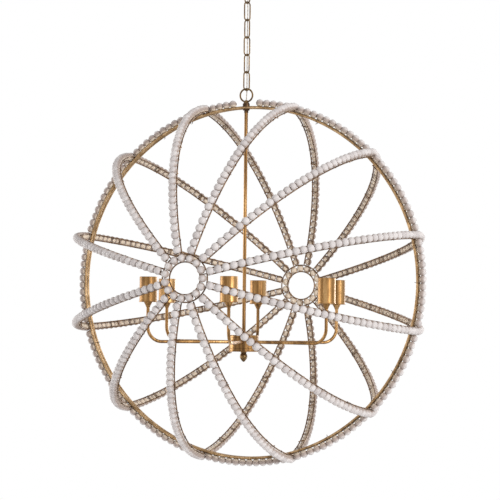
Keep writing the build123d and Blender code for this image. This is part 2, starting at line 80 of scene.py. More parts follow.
class Body(Enum):
    """The bodies that pieces ride on, from the ceiling down."""

    CEILING = "canopy"
    LINK_1 = "link_1"
    LINK_2 = "link_2"
    LINK_3 = "link_3"
    LINK_4 = "link_4"
    LINK_5 = "link_5"
    LINK_6 = "link_6"
    GLOBE = "globe"


class Slot(Enum):
    """The record's finish slots."""

    RIB_WIRE = "rib_wire"
    GOLD_LEAF = "gold_leaf"
    ANTIQUE_GOLD = "antique_gold"
    ANTIQUE_BRONZE = "antique_bronze"
    ZINC = "zinc_steel"
    WOOD = "whitewashed_wood"
    SOCKET = "socket_black"
    SLEEVE = "lead_sleeve"
    STRING = "string_wire"
    CORD = "clear_cord"


# Surfaces as whole arrays


@dataclass
class Shell:
    """A surface as whole arrays: its points, its faces, and values kept at each point."""

    points: np.ndarray
    quads: np.ndarray
    tris: np.ndarray = field(default_factory=lambda: np.zeros((0, 3), np.int64))
    tags: dict[str, np.ndarray] = field(default_factory=dict)

    def faced(self) -> "Shell":
        """Turn the faces of a closed surface outward.

        It is inside out where the sum of a . (b x c) over the corners of its triangles is negative.

        Returns:
            The same shell.
        """
        corners = np.concatenate([self.quads[:, [0, 1, 2]], self.quads[:, [0, 2, 3]], self.tris])
        a, b, c = (self.points[corners[:, k]] - self.points.mean(0) for k in range(3))
        if np.einsum("ij,ij->", a, np.cross(b, c)) < 0:
            self.quads = self.quads[:, ::-1]
            self.tris = self.tris[:, ::-1]
        return self

    def tagged(self, name: str, values: np.ndarray) -> "Shell":
        """Keep one value, or one vector, at each point under a name."""
        self.tags[name] = values
        return self

    @staticmethod
    def merged(shells: list["Shell"]) -> "Shell":
        """Several surfaces as one, with the tags that the first one has.

        Args:
            shells: The surfaces, each with the same tags.

        Returns:
            One surface whose face numbers are shifted by the points that come before.
        """
        starts = np.cumsum([0] + [len(shell.points) for shell in shells])
        return Shell(
            np.concatenate([shell.points for shell in shells]),
            np.concatenate([shell.quads + start for shell, start in zip(shells, starts)]),
            np.concatenate([shell.tris + start for shell, start in zip(shells, starts)]),
            {name: np.concatenate([shell.tags[name] for shell in shells]) for name in shells[0].tags},
        )


def circle(count: int) -> np.ndarray:
    """Angles of points spread evenly round a full circle."""
    return np.linspace(0, 2 * np.pi, count, endpoint=False)


def unit(vectors: np.ndarray) -> np.ndarray:
    """Vectors divided by their own length."""
    return vectors / np.linalg.norm(vectors, axis=-1, keepdims=True)


def upright_plane(turn: float) -> tuple[np.ndarray, np.ndarray]:
    """Level direction at a turn about the stem, and the normal of the upright plane that holds it."""
    return np.array([math.cos(turn), math.sin(turn), 0]), np.array([math.sin(turn), -math.cos(turn), 0])


def framed(along: np.ndarray, outward: np.ndarray) -> np.ndarray:
    """Axes whose Z runs along, whose X points outward and whose Y is Z x X, as matrix columns."""
    return np.stack([outward, np.cross(along, outward), along], -1)


def stepped(radius: float, height: float, *steps: Pair) -> Profile:
    """Profile points given as steps outward and up from one corner."""
    return [(radius + out, height + up) for out, up in steps]


def lattice(rows: int, columns: int, rows_close: bool, columns_close: bool) -> np.ndarray:
    """Quads of a grid of points numbered row by row.

    Args:
        rows: Number of rows.
        columns: Points in a row.
        rows_close: Whether the last row joins the first.
        columns_close: Whether the last column joins the first.

    Returns:
        Four point numbers for each face: its own point, the next along the row, along both, and along the column.
    """
    row, column = np.meshgrid(
        np.arange(rows if rows_close else rows - 1),
        np.arange(columns if columns_close else columns - 1),
        indexing="ij",
    )
    below, beside = (row + 1) % rows, (column + 1) % columns
    faces = [row * columns + column, row * columns + beside, below * columns + beside, below * columns + column]
    return np.stack(faces, -1).reshape(-1, 4)


def end_fans(rows: int, columns: int) -> np.ndarray:
    """Triangles that close the first and the last row of a grid, each with an end point numbered after the grid.

    Args:
        rows: Number of rows.
        columns: Points in a row.

    Returns:
        Three point numbers for each triangle: two neighbours in the row, and the end point.
    """
    here = np.arange(columns)
    beside = (here + 1) % columns
    last = (rows - 1) * columns
    first_end = np.full(columns, rows * columns)
    return np.concatenate(
        [np.stack([beside, here, first_end], -1), np.stack([last + here, last + beside, first_end + 1], -1)]
    )


def turned(profile: Profile, sides: int) -> Shell:
    """A turned surface: the profile point (r, h) at angle t goes to (r cos t, r sin t, h).

    Args:
        profile: Radius and height of each point; radius 0 at both ends is a pole, otherwise the profile closes.
        sides: Points around.

    Returns:
        The closed surface.
    """
    shape = np.array(profile, float)
    solid = shape[0, 0] == 0
    body = shape[1:-1] if solid else shape
    angle = circle(sides)
    radius, height = body[:, :1], body[:, 1:]
    points = np.stack([radius * np.cos(angle), radius * np.sin(angle), height + 0 * angle], -1).reshape(-1, 3)
    quads = lattice(len(body), sides, not solid, True)
    if not solid:
        return Shell(points, quads).faced()
    ends = np.array([[0, 0, shape[0, 1]], [0, 0, shape[-1, 1]]])
    return Shell(np.concatenate([points, ends]), quads, end_fans(len(body), sides)).faced()


def bar(path: np.ndarray, radius: float | np.ndarray, sides: int, across: np.ndarray, closed: bool = False) -> Shell:
    """A round bar: a circle of the radius is carried along the path, square to it.

    Args:
        path: Points of the middle line.
        radius: The radius, or one for each point.
        sides: Points around, counted from the across direction.
        across: A direction that the path never runs along, or one for each point.
        closed: Whether the path closes on itself.

    Returns:
        The closed surface.
    """
    along = unit(np.roll(path, -1, 0) - np.roll(path, 1, 0) if closed else np.gradient(path, axis=0))
    flat = unit(np.cross(along, np.broadcast_to(across, along.shape)))
    high = np.cross(flat, along)
    angle = circle(sides)
    reach = np.broadcast_to(radius, len(path))[:, None, None]
    ring = np.cos(angle)[None, :, None] * high[:, None] + np.sin(angle)[None, :, None] * flat[:, None]
    points = (path[:, None] + reach * ring).reshape(-1, 3)
    quads = lattice(len(path), sides, closed, True)
    if closed:
        return Shell(points, quads).faced()
    return Shell(np.concatenate([points, path[[0, -1]]]), quads, end_fans(len(path), sides)).faced()


def hung_ring(middle: float, radius: float, wire: float, turn: float, across: np.ndarray) -> Shell:
    """Upright wire ring on the stem's axis: its line is middle + radius (cos a level + sin a up).

    Args:
        middle: Height of its middle.
        radius: Radius of its middle line.
        wire: Radius of its wire.
        turn: Turn of its level direction about the stem.
        across: A direction square to its plane.

    Returns:
        The closed surface.
    """
    angle = circle(48)[:, None]
    level, _ = upright_plane(turn)
    line = np.array([0, 0, middle]) + radius * (np.cos(angle) * level + np.sin(angle) * UPRIGHT)
    return bar(line, wire, 14, across, True)


def copied(shape: Shell, spots: np.ndarray, axes: np.ndarray, sizes: np.ndarray | None = None) -> Shell:
    """Copies of one shape: a point p goes to spot + axes . (size * p).

    Args:
        shape: The shape around its own origin.
        spots: Place of each copy.
        axes: Each copy's own X, Y and Z as the columns of a matrix.
        sizes: Sizes of each copy, one for each point of the shape, or None where all are as the shape is.

    Returns:
        One surface of all the copies, with the shape's tags repeated.
    """
    count, each = len(spots), len(shape.points)
    grown = shape.points[None] * np.reshape(np.ones(count) if sizes is None else sizes, (count, -1, 1))
    points = np.einsum("nij,npj->npi", axes, grown) + spots[:, None]
    shift = (np.arange(count) * each)[:, None, None]
    return Shell(
        points.reshape(-1, 3),
        (shape.quads[None] + shift).reshape(-1, 4),
        (shape.tris[None] + shift).reshape(-1, 3),
        {name: np.tile(values, (count,) + (1,) * (values.ndim - 1)) for name, values in shape.tags.items()},
    )


# Shader values


class Value:
    """A socket that Python's operators act on by adding Math nodes."""

    def __init__(self, graph: "Graph", socket: bpy.types.NodeSocket | None) -> None:
        """Wrap an output socket of the graph."""
        self.graph = graph
        self.socket = socket

    def _with(self, operation: str, first: "Value | float", second: "Value | float") -> "Value":
        """Add one Math node."""
        return self.graph.node("ShaderNodeMath", {"operation": operation}, {0: first, 1: second})

    def __add__(self, other: "Value | float") -> "Value":
        """Sum."""
        return self._with("ADD", self, other)

    def __sub__(self, other: "Value | float") -> "Value":
        """Difference."""
        return self._with("SUBTRACT", self, other)

    def __rsub__(self, other: float) -> "Value":
        """Difference from a number."""
        return self._with("SUBTRACT", other, self)

    def __mul__(self, other: "Value | float") -> "Value":
        """Product."""
        return self._with("MULTIPLY", self, other)

    # A sum and a product are the same with the number first
    __radd__ = __add__
    __rmul__ = __mul__

    def most(self, other: "Value | float") -> "Value":
        """The larger of two values."""
        return self._with("MAXIMUM", self, other)

    def step(self, low: float, high: float) -> "Value":
        """0 below low, 1 above high, and smooth between."""
        settings = {"interpolation_type": "SMOOTHSTEP", "clamp": True}
        return self.graph.node("ShaderNodeMapRange", settings, {0: self, 1: low, 2: high, 3: 0.0, 4: 1.0})


Input = Value | float | tuple


class Graph:
    """The node tree of one finish, of the floor or of the world."""

    def __init__(self, tree: bpy.types.NodeTree) -> None:
        """Empty the tree for new nodes."""
        self.tree = tree
        tree.nodes.clear()

    def node(
        self,
        kind: str,
        settings: dict[str, object] | None = None,
        inputs: dict[int | str, Input] | None = None,
        output: int | str = 0,
    ) -> Value:
        """Add a node, set it up, then give its sockets their values or links.

        Args:
            kind: Blender's name of the node type.
            settings: Properties of the node, or stops: positions and colours of a ramp.
            inputs: Values or links by socket number or name.
            output: The socket to return.

        Returns:
            The wrapped output socket, or one wrapped around nothing where the node has none.
        """
        made = self.tree.nodes.new(kind)
        for name, setting in (settings or {}).items():
            if name == "stops":
                ramp = made.color_ramp
                while len(ramp.elements) < len(setting):
                    ramp.elements.new(0.5)
                for element, (position, colour) in zip(ramp.elements, setting):
                    element.position = position
                    element.color = (*colour, 1)
            else:
                setattr(made, name, setting)
        for name, given in (inputs or {}).items():
            socket = made.inputs[name]
            if isinstance(given, Value):
                self.tree.links.new(given.socket, socket)
            elif isinstance(given, tuple) and len(socket.default_value) == 4:
                socket.default_value = (*given, 1)
            else:
                socket.default_value = given
        return Value(self, made.outputs[output] if len(made.outputs) else None)

    def stretched(self, at: Value, by: Point) -> Value:
        """Coordinates times one factor for each axis."""
        return self.node("ShaderNodeVectorMath", {"operation": "MULTIPLY"}, {0: at, 1: by})

    def place(self, stretch: Point = (1, 1, 1)) -> Value:
        """The piece's own coordinates in metres, stretched along its axes."""
        return self.stretched(self.node("ShaderNodeTexCoord", output="Object"), stretch)

    def tag(self, name: str, output: str = "Fac") -> Value:
        """A value that the piece keeps at its points."""
        return self.node("ShaderNodeAttribute", {"attribute_name": name}, output=output)

    def ray(self, kind: str) -> Value:
        """1 for rays of a kind, such as Camera or Glossy, and 0 for others."""
        return self.node("ShaderNodeLightPath", output=f"Is {kind} Ray")

    def noise(self, at: Value, scale: float, detail: float, rough: float) -> Value:
        """Cloudy noise around 0.5, with the given number of bumps to a metre."""
        inputs = {"Vector": at, "Scale": scale, "Detail": detail, "Roughness": rough}
        return self.node("ShaderNodeTexNoise", None, inputs)

    def mix(self, share: Input, first: Input, second: Input) -> Value:
        """The first colour going over to the second by a share."""
        return self.node("ShaderNodeMix", {"data_type": "RGBA"}, {0: share, 6: first, 7: second}, 2)

    def ramp(self, share: Value, *stops: tuple[float, Colour]) -> Value:
        """Colours at stops along a share."""
        return self.node("ShaderNodeValToRGB", {"stops": stops}, {0: share})

    def bump(self, height: Value, strength: float, depth: float) -> Value:
        """A normal that follows a height, depth metres deep."""
        return self.node("ShaderNodeBump", None, {"Strength": strength, "Distance": depth, "Height": height})

    def surface(self, **sockets: Input) -> None:
        """End the tree in a Principled shader; words in a socket's name are joined with underscores.

        Args:
            sockets: Values or links of the shader's sockets.
        """
        named = {name.replace("_", " "): given for name, given in sockets.items()}
        shader = self.node("ShaderNodeBsdfPrincipled", None, named)
        self.node("ShaderNodeOutputMaterial", None, {"Surface": shader})


@dataclass(frozen=True)
class Finish:
    """A finish that makes its material once and hands it out.

    Fields of a finish whose name ends in _at are the limits between which one tone goes over to the next.
    """

    made: ClassVar[dict[str, bpy.types.Material]] = {}
    name: str
    slot: Slot

    def paint_on(self, graph: Graph) -> None:
        """Fill the material's node tree, each kind of finish in its own way."""
        raise NotImplementedError

    def material(self) -> bpy.types.Material:
        """The material of this finish.

        Returns:
            The material, made at the first call.
        """
        if self.name not in Finish.made:
            material = bpy.data.materials.new(self.name)
            material.use_nodes = True
            self.paint_on(Graph(material.node_tree))
            Finish.made[self.name] = material
        return Finish.made[self.name]


@dataclass(frozen=True)
class Whitewash(Finish):
    """Turned wood with a white wash on its outward side, painted shade on its sides, and a tan inward side that is
    unwashed wood with painted warm reflection from the gold wires.
    """

    name: str = "whitewashed_wood"
    slot: Slot = Slot.WOOD
    wash: Colour = paint(232, 226, 224)
    grey: Colour = paint(203, 195, 193)
    grain: Colour = paint(192, 176, 165)
    # Painted shade on the bead's sides.
    thin: Colour = paint(180, 164, 155)
    # Inward tan: unwashed wood with painted warm reflection from the gold wires.
    inward_tan: Colour = paint(246, 232, 214)
    inward_tan_dark: Colour = paint(228, 206, 180)
    # Painted shade inside the bore.
    hole: Colour = paint(120, 98, 80)
    streaks: float = 620
    streak_stretch: Point = (1, 1, 0.18)
    clouds: float = 150
    worn_at: Pair = (0.5, 0.72)
    side_shade_at: Pair = (-0.55, 0.05)
    dark_at: Pair = (0.35, 0.7)
    inward_tan_at: Pair = (0.4, 0.75)
    bore_shade_at: Pair = (0.35, 1.0)
    relief: float = 0.0004

    def paint_on(self, graph: Graph) -> None:
        """Wash over grain streaks, painted side shade where the bead turns sideways, a tan where it faces inward
        (unwashed wood with painted warm reflection), and painted shade in the bore.

        Args:
            graph: The material's node tree.
        """
        local = graph.tag("grain_at", "Vector")
        streak = graph.noise(graph.stretched(local, self.streak_stretch), self.streaks, 4, 0.6)
        cloud = graph.noise(local, self.clouds, 3, 0.5)
        # Wear of the wash, where the grain shows through.
        wear_and_shade = (streak * 0.6 + cloud * 0.4).step(*self.worn_at)
        washed = graph.mix(graph.tag("seed") * 0.75 + cloud * 0.25, self.wash, self.grey)
        washed = graph.mix(wear_and_shade * 0.4, washed, self.grain)
        # Painted shade on the sides of each bead; on its inward side a tan that is unwashed wood with painted warm
        # reflection from the gold wires.
        side = graph.tag("inner") + (cloud - 0.5) * 0.5
        washed = graph.mix(side.step(*self.side_shade_at), washed, self.thin)
        wood = graph.mix(streak.step(*self.dark_at), self.inward_tan, self.inward_tan_dark)
        colour = graph.mix(side.step(*self.inward_tan_at), washed, wood)
        # Painted shade inside the bore.
        colour = graph.mix(graph.tag("bore").step(*self.bore_shade_at), colour, self.hole)
        graph.surface(
            Base_Color=colour,
            Roughness=0.62 + streak * 0.25,
            Normal=graph.bump(streak * 0.7 + cloud * 0.3, 0.35, self.relief),
        )


@dataclass(frozen=True)
class RubbedMetal(Finish):
    """Metal with a gold or bronze coat rubbed through to dark patches."""

    bright: Colour
    body: Colour
    dark: Colour
    patches: float
    grains: float
    metallic: float
    polish: Pair
    stretch: Point = (1, 1, 1)
    bead_shade_and_patina: float = 0.0
    bead_shade_and_patina_at: Pair = (0.0, 0.9)
    contrast: float = 1.0
    fleck: float = 0.38
    stops: tuple[float, float, float] = (0.3, 0.5, 0.68)
    polish_at: Pair = (0.3, 0.7)
    relief: float = 0.0003

    def paint_on(self, graph: Graph) -> None:
        """Dark, body and bright tones from two noises; the sides that face the beads are darkened, painted shade
        from the beads together with patina.

        Args:
            graph: The material's node tree.
        """
        at = graph.place(self.stretch)
        patch = graph.noise(at, self.patches, 4, 0.62)
        grain = graph.noise(at, self.grains, 3, 0.6)
        tone = (patch * (1 - self.fleck) + grain * self.fleck - 0.5) * self.contrast + 0.5
        if self.bead_shade_and_patina:
            # Painted shade with patina: the sides that face the beads are darkened.
            tone = tone - graph.tag("outer").step(*self.bead_shade_and_patina_at) * self.bead_shade_and_patina
        low, high = self.polish
        graph.surface(
            Base_Color=graph.ramp(tone, *zip(self.stops, (self.dark, self.body, self.bright))),
            Metallic=self.metallic,
            Roughness=high - tone.step(*self.polish_at) * (high - low),
            Normal=graph.bump(grain * 0.6 + patch * 0.4, 0.25, self.relief),
        )


@dataclass(frozen=True)
class Moulded(Finish):
    """Plain moulded plastic or sleeve with a fine mottle."""

    light: Colour
    deep: Colour
    roughness: float
    mottle: float
    mottle_at: Pair = (0.3, 0.7)
    relief: float = 0.0002

    def paint_on(self, graph: Graph) -> None:
        """Two near tones by a fine noise, and a little bump.

        Args:
            graph: The material's node tree.
        """
        mottle = graph.noise(graph.place(), self.mottle, 3, 0.6)
        graph.surface(
            Base_Color=graph.mix(mottle.step(*self.mottle_at), self.deep, self.light),
            Roughness=self.roughness + (mottle - 0.5) * 0.2,
            Normal=graph.bump(mottle, 0.15, self.relief),
        )


@dataclass(frozen=True)
class TwistedCord(Finish):
    """Clear sleeve over two twisted strands."""

    name: str = "clear_cord"
    slot: Slot = Slot.CORD
    strand: Colour = paint(216, 205, 192)
    gap: Colour = paint(172, 160, 148)
    strand_at: Pair = (0.1, 0.6)
    relief: float = 0.0003

    def paint_on(self, graph: Graph) -> None:
        """Slanting strands from the cord's own length and turn, under a glossy skin.

        Args:
            graph: The material's node tree.
        """
        twist = graph.node("ShaderNodeMath", {"operation": "SINE"}, {0: graph.tag("lay")}) * 0.5 + 0.5
        graph.surface(
            Base_Color=graph.mix(twist.step(*self.strand_at), self.gap, self.strand),
            Roughness=0.3 + twist * 0.15,
            Coat_Weight=0.4,
            Normal=graph.bump(twist, 0.3, self.relief),
        )


WOOD = Whitewash()
# Gold leaf of the hoop rods, darkened on the sides that face the beads: painted shade with patina.
LEAF = RubbedMetal(
    "gold_leaf", Slot.GOLD_LEAF, paint(220, 190, 150), paint(164, 132, 92), paint(90, 68, 44),
    38, 420, 0.75, (0.32, 0.5), bead_shade_and_patina=0.2,
)
# Gold whose noise is stretched upright into dark and light bands: painted reflections of darker surroundings, over a
# rubbed finish.
GOLD = RubbedMetal(
    "gold_with_painted_reflections", Slot.ANTIQUE_GOLD, paint(204, 164, 112), paint(148, 110, 64), paint(72, 48, 24),
    55, 300, 0.8, (0.3, 0.46), (1, 1, 0.05), contrast=1.25, fleck=0.16,
)
BRONZE = RubbedMetal(
    "dark_bronze", Slot.ANTIQUE_BRONZE, paint(150, 122, 80), paint(102, 78, 46), paint(52, 38, 20),
    90, 700, 0.75, (0.34, 0.55),
)
UMBER = RubbedMetal(
    "burnt_umber", Slot.ANTIQUE_BRONZE, paint(112, 84, 52), paint(70, 48, 26), paint(36, 24, 14),
    110, 800, 0.7, (0.36, 0.56),
)
WIRE = RubbedMetal(
    "rib_wire_brown", Slot.RIB_WIRE, paint(162, 128, 94), paint(110, 82, 56), paint(60, 42, 30),
    60, 600, 0.6, (0.4, 0.62),
)
STRING = RubbedMetal(
    "thin_dark_wire", Slot.STRING, paint(116, 88, 58), paint(78, 56, 36), paint(44, 30, 20),
    120, 900, 0.6, (0.42, 0.6),
)
ZINC = RubbedMetal(
    "zinc_plate", Slot.ZINC, paint(206, 204, 200), paint(178, 176, 172), paint(128, 126, 122),
    60, 500, 0.9, (0.3, 0.48), (0.15, 1, 1),
)
SHELL_BRASS = RubbedMetal(
    "lamp_shell_brass", Slot.ANTIQUE_GOLD, paint(214, 172, 104), paint(176, 132, 70), paint(112, 78, 40),
    70, 500, 0.9, (0.28, 0.42),
)
PHENOLIC = Moulded("socket_phenolic", Slot.SOCKET, paint(52, 46, 42), paint(30, 26, 24), 0.42, 900)
SLEEVE = Moulded("lead_sleeve", Slot.SLEEVE, paint(206, 200, 186), paint(176, 170, 158), 0.5, 600)
CORD = TwistedCord()


# Putting surfaces into the scene


def put(
    name: str,
    shell: Shell,
    finish: Finish,
    node: str | None = None,
    crease: float = 40,
    body: Body | None = Body.GLOBE,
) -> bpy.types.Object:
    """Make a mesh piece of a surface, with its finish, and let it ride on a body.

    Args:
        name: The piece's name.
        shell: Its surface.
        finish: Its finish.
        node: The CAD node that it stands for, if any.
        crease: Edges sharper than this many degrees stay crisp.
        body: The body that it rides on, or None.

    Returns:
        The object, at the origin.
    """
    mesh = bpy.data.meshes.new(name)
    mesh.vertices.add(len(shell.points))
    mesh.vertices.foreach_set("co", shell.points.astype(np.float32).ravel())
    mesh.loops.add(shell.quads.size + shell.tris.size)
    corners = np.concatenate([shell.quads.ravel(), shell.tris.ravel()])
    mesh.loops.foreach_set("vertex_index", corners.astype(np.int32))
    mesh.polygons.add(len(shell.quads) + len(shell.tris))
    starts = [np.arange(len(shell.quads)) * 4, shell.quads.size + np.arange(len(shell.tris)) * 3]
    mesh.polygons.foreach_set("loop_start", np.concatenate(starts).astype(np.int32))
    mesh.update(calc_edges=True)
    mesh.polygons.foreach_set("use_smooth", np.ones(len(mesh.polygons), bool))
    mesh.set_sharp_from_angle(angle=math.radians(crease))
    for tag, values in shell.tags.items():
        kind, key = ("FLOAT_VECTOR", "vector") if values.ndim == 2 else ("FLOAT", "value")
        kept = mesh.attributes.new(tag, kind, "POINT")
        kept.data.foreach_set(key, values.astype(np.float32).ravel())
    mesh.materials.append(finish.material())
    piece = bpy.data.objects.new(name, mesh)
    bpy.context.scene.collection.objects.link(piece)
    if node is not None:
        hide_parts(node)
    if body is not None:
        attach(piece, body.value)
    log.info("%s: %d faces", name, len(mesh.polygons))
    return piece


def dress(node: str, finish: Finish) -> None:
    """Give a CAD node that stays its finish.

    Args:
        node: The node's name.
        finish: Its finish.
    """
    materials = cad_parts[node].data.materials
    materials.clear()
    materials.append(finish.material())
    log.info("%s: dressed", node)


# Sub-assemblies


@dataclass
class Cord:
    """The supply cord: down the nipple, beside the chain, down the stem."""

    radius: float = 0.00125
    sides: int = 8
    smoothness: int = 64
    strand_length: float = 0.009
    bend_half: float = 0.009
    hinges: tuple[float, ...] = (-0.0724, -0.1108, -0.1496, -0.1884, -0.2272, -0.266, -0.3048)
    cuts: tuple[float, ...] = (-0.0898, -0.1286, -0.1674, -0.2062, -0.245, -0.2838)
    route: tuple[Point, ...] = (
        (0, 0, -0.005),
        (0, 0, -0.0381),
        (0, 0, -0.052),
        (-0.000844, 0.005337, -0.0648),
        (-0.000844, 0.005337, -0.0787),
        (-0.000844, 0.005337, -0.2949),
        (-0.000844, 0.005337, -0.3088),
        (0, 0, -0.3216),
        (0, 0, -0.3355),
        (0, 0, -0.8548331),
    )

    def line(self) -> np.ndarray:
        """Points of the smooth line of the cord, read from a NURBS curve along the route.

        Returns:
            The points from the ceiling down.
        """
        curve = bpy.data.curves.new("cord_line", "CURVE")
        curve.dimensions = "3D"
        curve.resolution_u = self.smoothness
        spline = curve.splines.new("NURBS")
        spline.points.add(len(self.route) - 1)
        spline.points.foreach_set("co", np.array([(*spot, 1) for spot in self.route]).ravel())
        spline.order_u = 3
        spline.use_endpoint_u = True
        holder = bpy.data.objects.new("cord_line", curve)
        bpy.context.scene.collection.objects.link(holder)
        mesh = bpy.data.meshes.new_from_object(holder)
        spots = np.empty(len(mesh.vertices) * 3)
        mesh.vertices.foreach_get("co", spots)
        bpy.data.objects.remove(holder)
        bpy.data.meshes.remove(mesh)
        bpy.data.curves.remove(curve)
        return spots.reshape(-1, 3)

    def build(self) -> None:
        """One stretch of cord across each hinge, cut at the middle of the links."""
        line = self.line()
        run = np.concatenate([[0], np.cumsum(np.linalg.norm(np.diff(line, axis=0), axis=1))])
        ends = [0, *[int(np.argmin(abs(line[:, 2] - cut))) for cut in self.cuts], len(line) - 1]
        for k, hinge in enumerate(self.hinges):
            part = slice(ends[k], ends[k + 1] + 1)
            shell = bar(line[part], self.radius, self.sides, np.array([1.0, 0, 0]))
            turn = np.tile(circle(self.sides), len(line[part]))
            lay = np.repeat(run[part] * 2 * np.pi / self.strand_length, self.sides) + turn
            shell.tagged("lay", np.concatenate([lay, [0, 0]]))
            piece = put(f"supply_cord_{k + 1}", shell, CORD, None if k else "supply_cord", body=None)
            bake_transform(piece)


@dataclass
class CeilingEnd:
    """Canopy, its loop, and the hidden strap and nipple."""

    rim_radius: float = 0.0625
    rim_height: float = 0.005
    depth: float = 0.028
    wall: float = 0.0012
    flat_radius: float = 0.017
    hole_radius: float = 0.00485
    cord_bore: float = 0.0017
    boss_radius: float = 0.008
    boss_end: float = -0.04
    loop_middle: float = -0.058
    loop_radius: float = 0.0144
    loop_wire: float = 0.0019
    loop_turn: float = 60.0

    def canopy(self) -> Shell:
        """Spun dome: a straight rim with a rolled bead, a dome, and a flat with a hole.

        Along the dome the depth grows about as a quarter sine and the radius falls about as a quarter cosine.

        Returns:
            The closed surface.
        """
        share = np.linspace(0, 1, 14)
        rim, flat = self.rim_radius, self.flat_radius
        fall = self.rim_height + (self.depth - self.rim_height) * np.sin(share * np.pi / 2) ** 0.9
        reach = flat + (rim - flat) * np.cos(share * np.pi / 2) ** 0.85
        outer = list(zip(reach, -fall))
        inner = list(zip(np.maximum(reach - self.wall, self.hole_radius), -fall + self.wall * share))
        edge = stepped(rim, 0, (-0.0004, 0), (0, -0.0006), (0, -0.0022), (-0.0007, -0.0028), (0, -0.0034))
        hole = [(self.hole_radius, -self.depth), (self.hole_radius, -self.depth + self.wall)]
        return turned(edge + outer + hole + inner[::-1] + [(rim - self.wall, 0)], 72)

    def loop(self) -> Shell:
        """Turned boss with a groove, a cone, and a round ring below.

        Returns:
            Boss and ring as one surface.
        """
        boss, bore, top, end = self.boss_radius, self.cord_bore, -self.depth, self.boss_end
        profile = [
            (bore, top),
            *stepped(boss, top, (-0.0006, 0), (0, -0.0006), (0, -0.0032), (-0.0007, -0.0038), (0, -0.0044)),
            *stepped(boss, end, (0, 0.0022), (-0.0004, 0.001)),
            *stepped(0, end, (0.0066, 0), (0.0065, -0.0008), (0.0046, -0.004), (0.0033, -0.007), (bore, -0.007)),
        ]
        turn = math.radians(self.loop_turn)
        ring = hung_ring(self.loop_middle, self.loop_radius, self.loop_wire, turn, upright_plane(turn)[1])
        return Shell.merged([turned(profile, 32), ring])

    def build(self) -> None:
        """Make the canopy and its loop, and give the hidden CAD pieces their finish."""
        put("spun_canopy", self.canopy(), GOLD, "canopy", 30, Body.CEILING)
        put("ceiling_loop", self.loop(), BRONZE, "canopy_loop", body=Body.CEILING)
        dress("mounting_crossbar", ZINC)
        dress("canopy_nipple", ZINC)


@dataclass
class Chain:
    """Six long oval wire links, each a quarter turn from the one above."""

    first_middle: float = -0.0898
    pitch: float = 0.0388
    end_radius: float = 0.008
    straight_half: float = 0.013
    wire: float = 0.0015
    weld_half: float = 0.0016
    weld_rise: float = 0.12
    turn: float = 60.0
    count: int = 6

    def link(self, number: int) -> Shell:
        """One link: two half circles joined by straights, with a slight weld swelling in the middle of one side.

        Args:
            number: The link's number from the ceiling.

        Returns:
            The bent and welded wire.
        """
        r, s = self.end_radius, self.straight_half
        arc = np.linspace(0, np.pi, 17)
        run = np.linspace(-s, s, 11)[1:-1]
        side = np.full(len(run), r)
        across = np.concatenate([r * np.cos(arc), -side, -r * np.cos(arc), side])
        height = np.concatenate([s + r * np.sin(arc), run[::-1], -s - r * np.sin(arc), run])
        swell = np.where(across > 0, np.exp(-((height / self.weld_half) ** 2)), 0) * (abs(height) < s)
        level, normal = upright_plane(math.radians(self.turn - 90 * (number % 2)))
        middle = np.array([0, 0, self.first_middle - self.pitch * (number - 1)])
        path = middle + across[:, None] * level + height[:, None] * UPRIGHT
        return bar(path, self.wire * (1 + self.weld_rise * swell), 12, normal, True)

    def build(self) -> None:
        """Make every link on its own body."""
        for number in range(1, self.count + 1):
            body = Body(f"link_{number}")
            put(f"wire_link_{number}", self.link(number), BRONZE, f"chain_link_{number}", body=body)


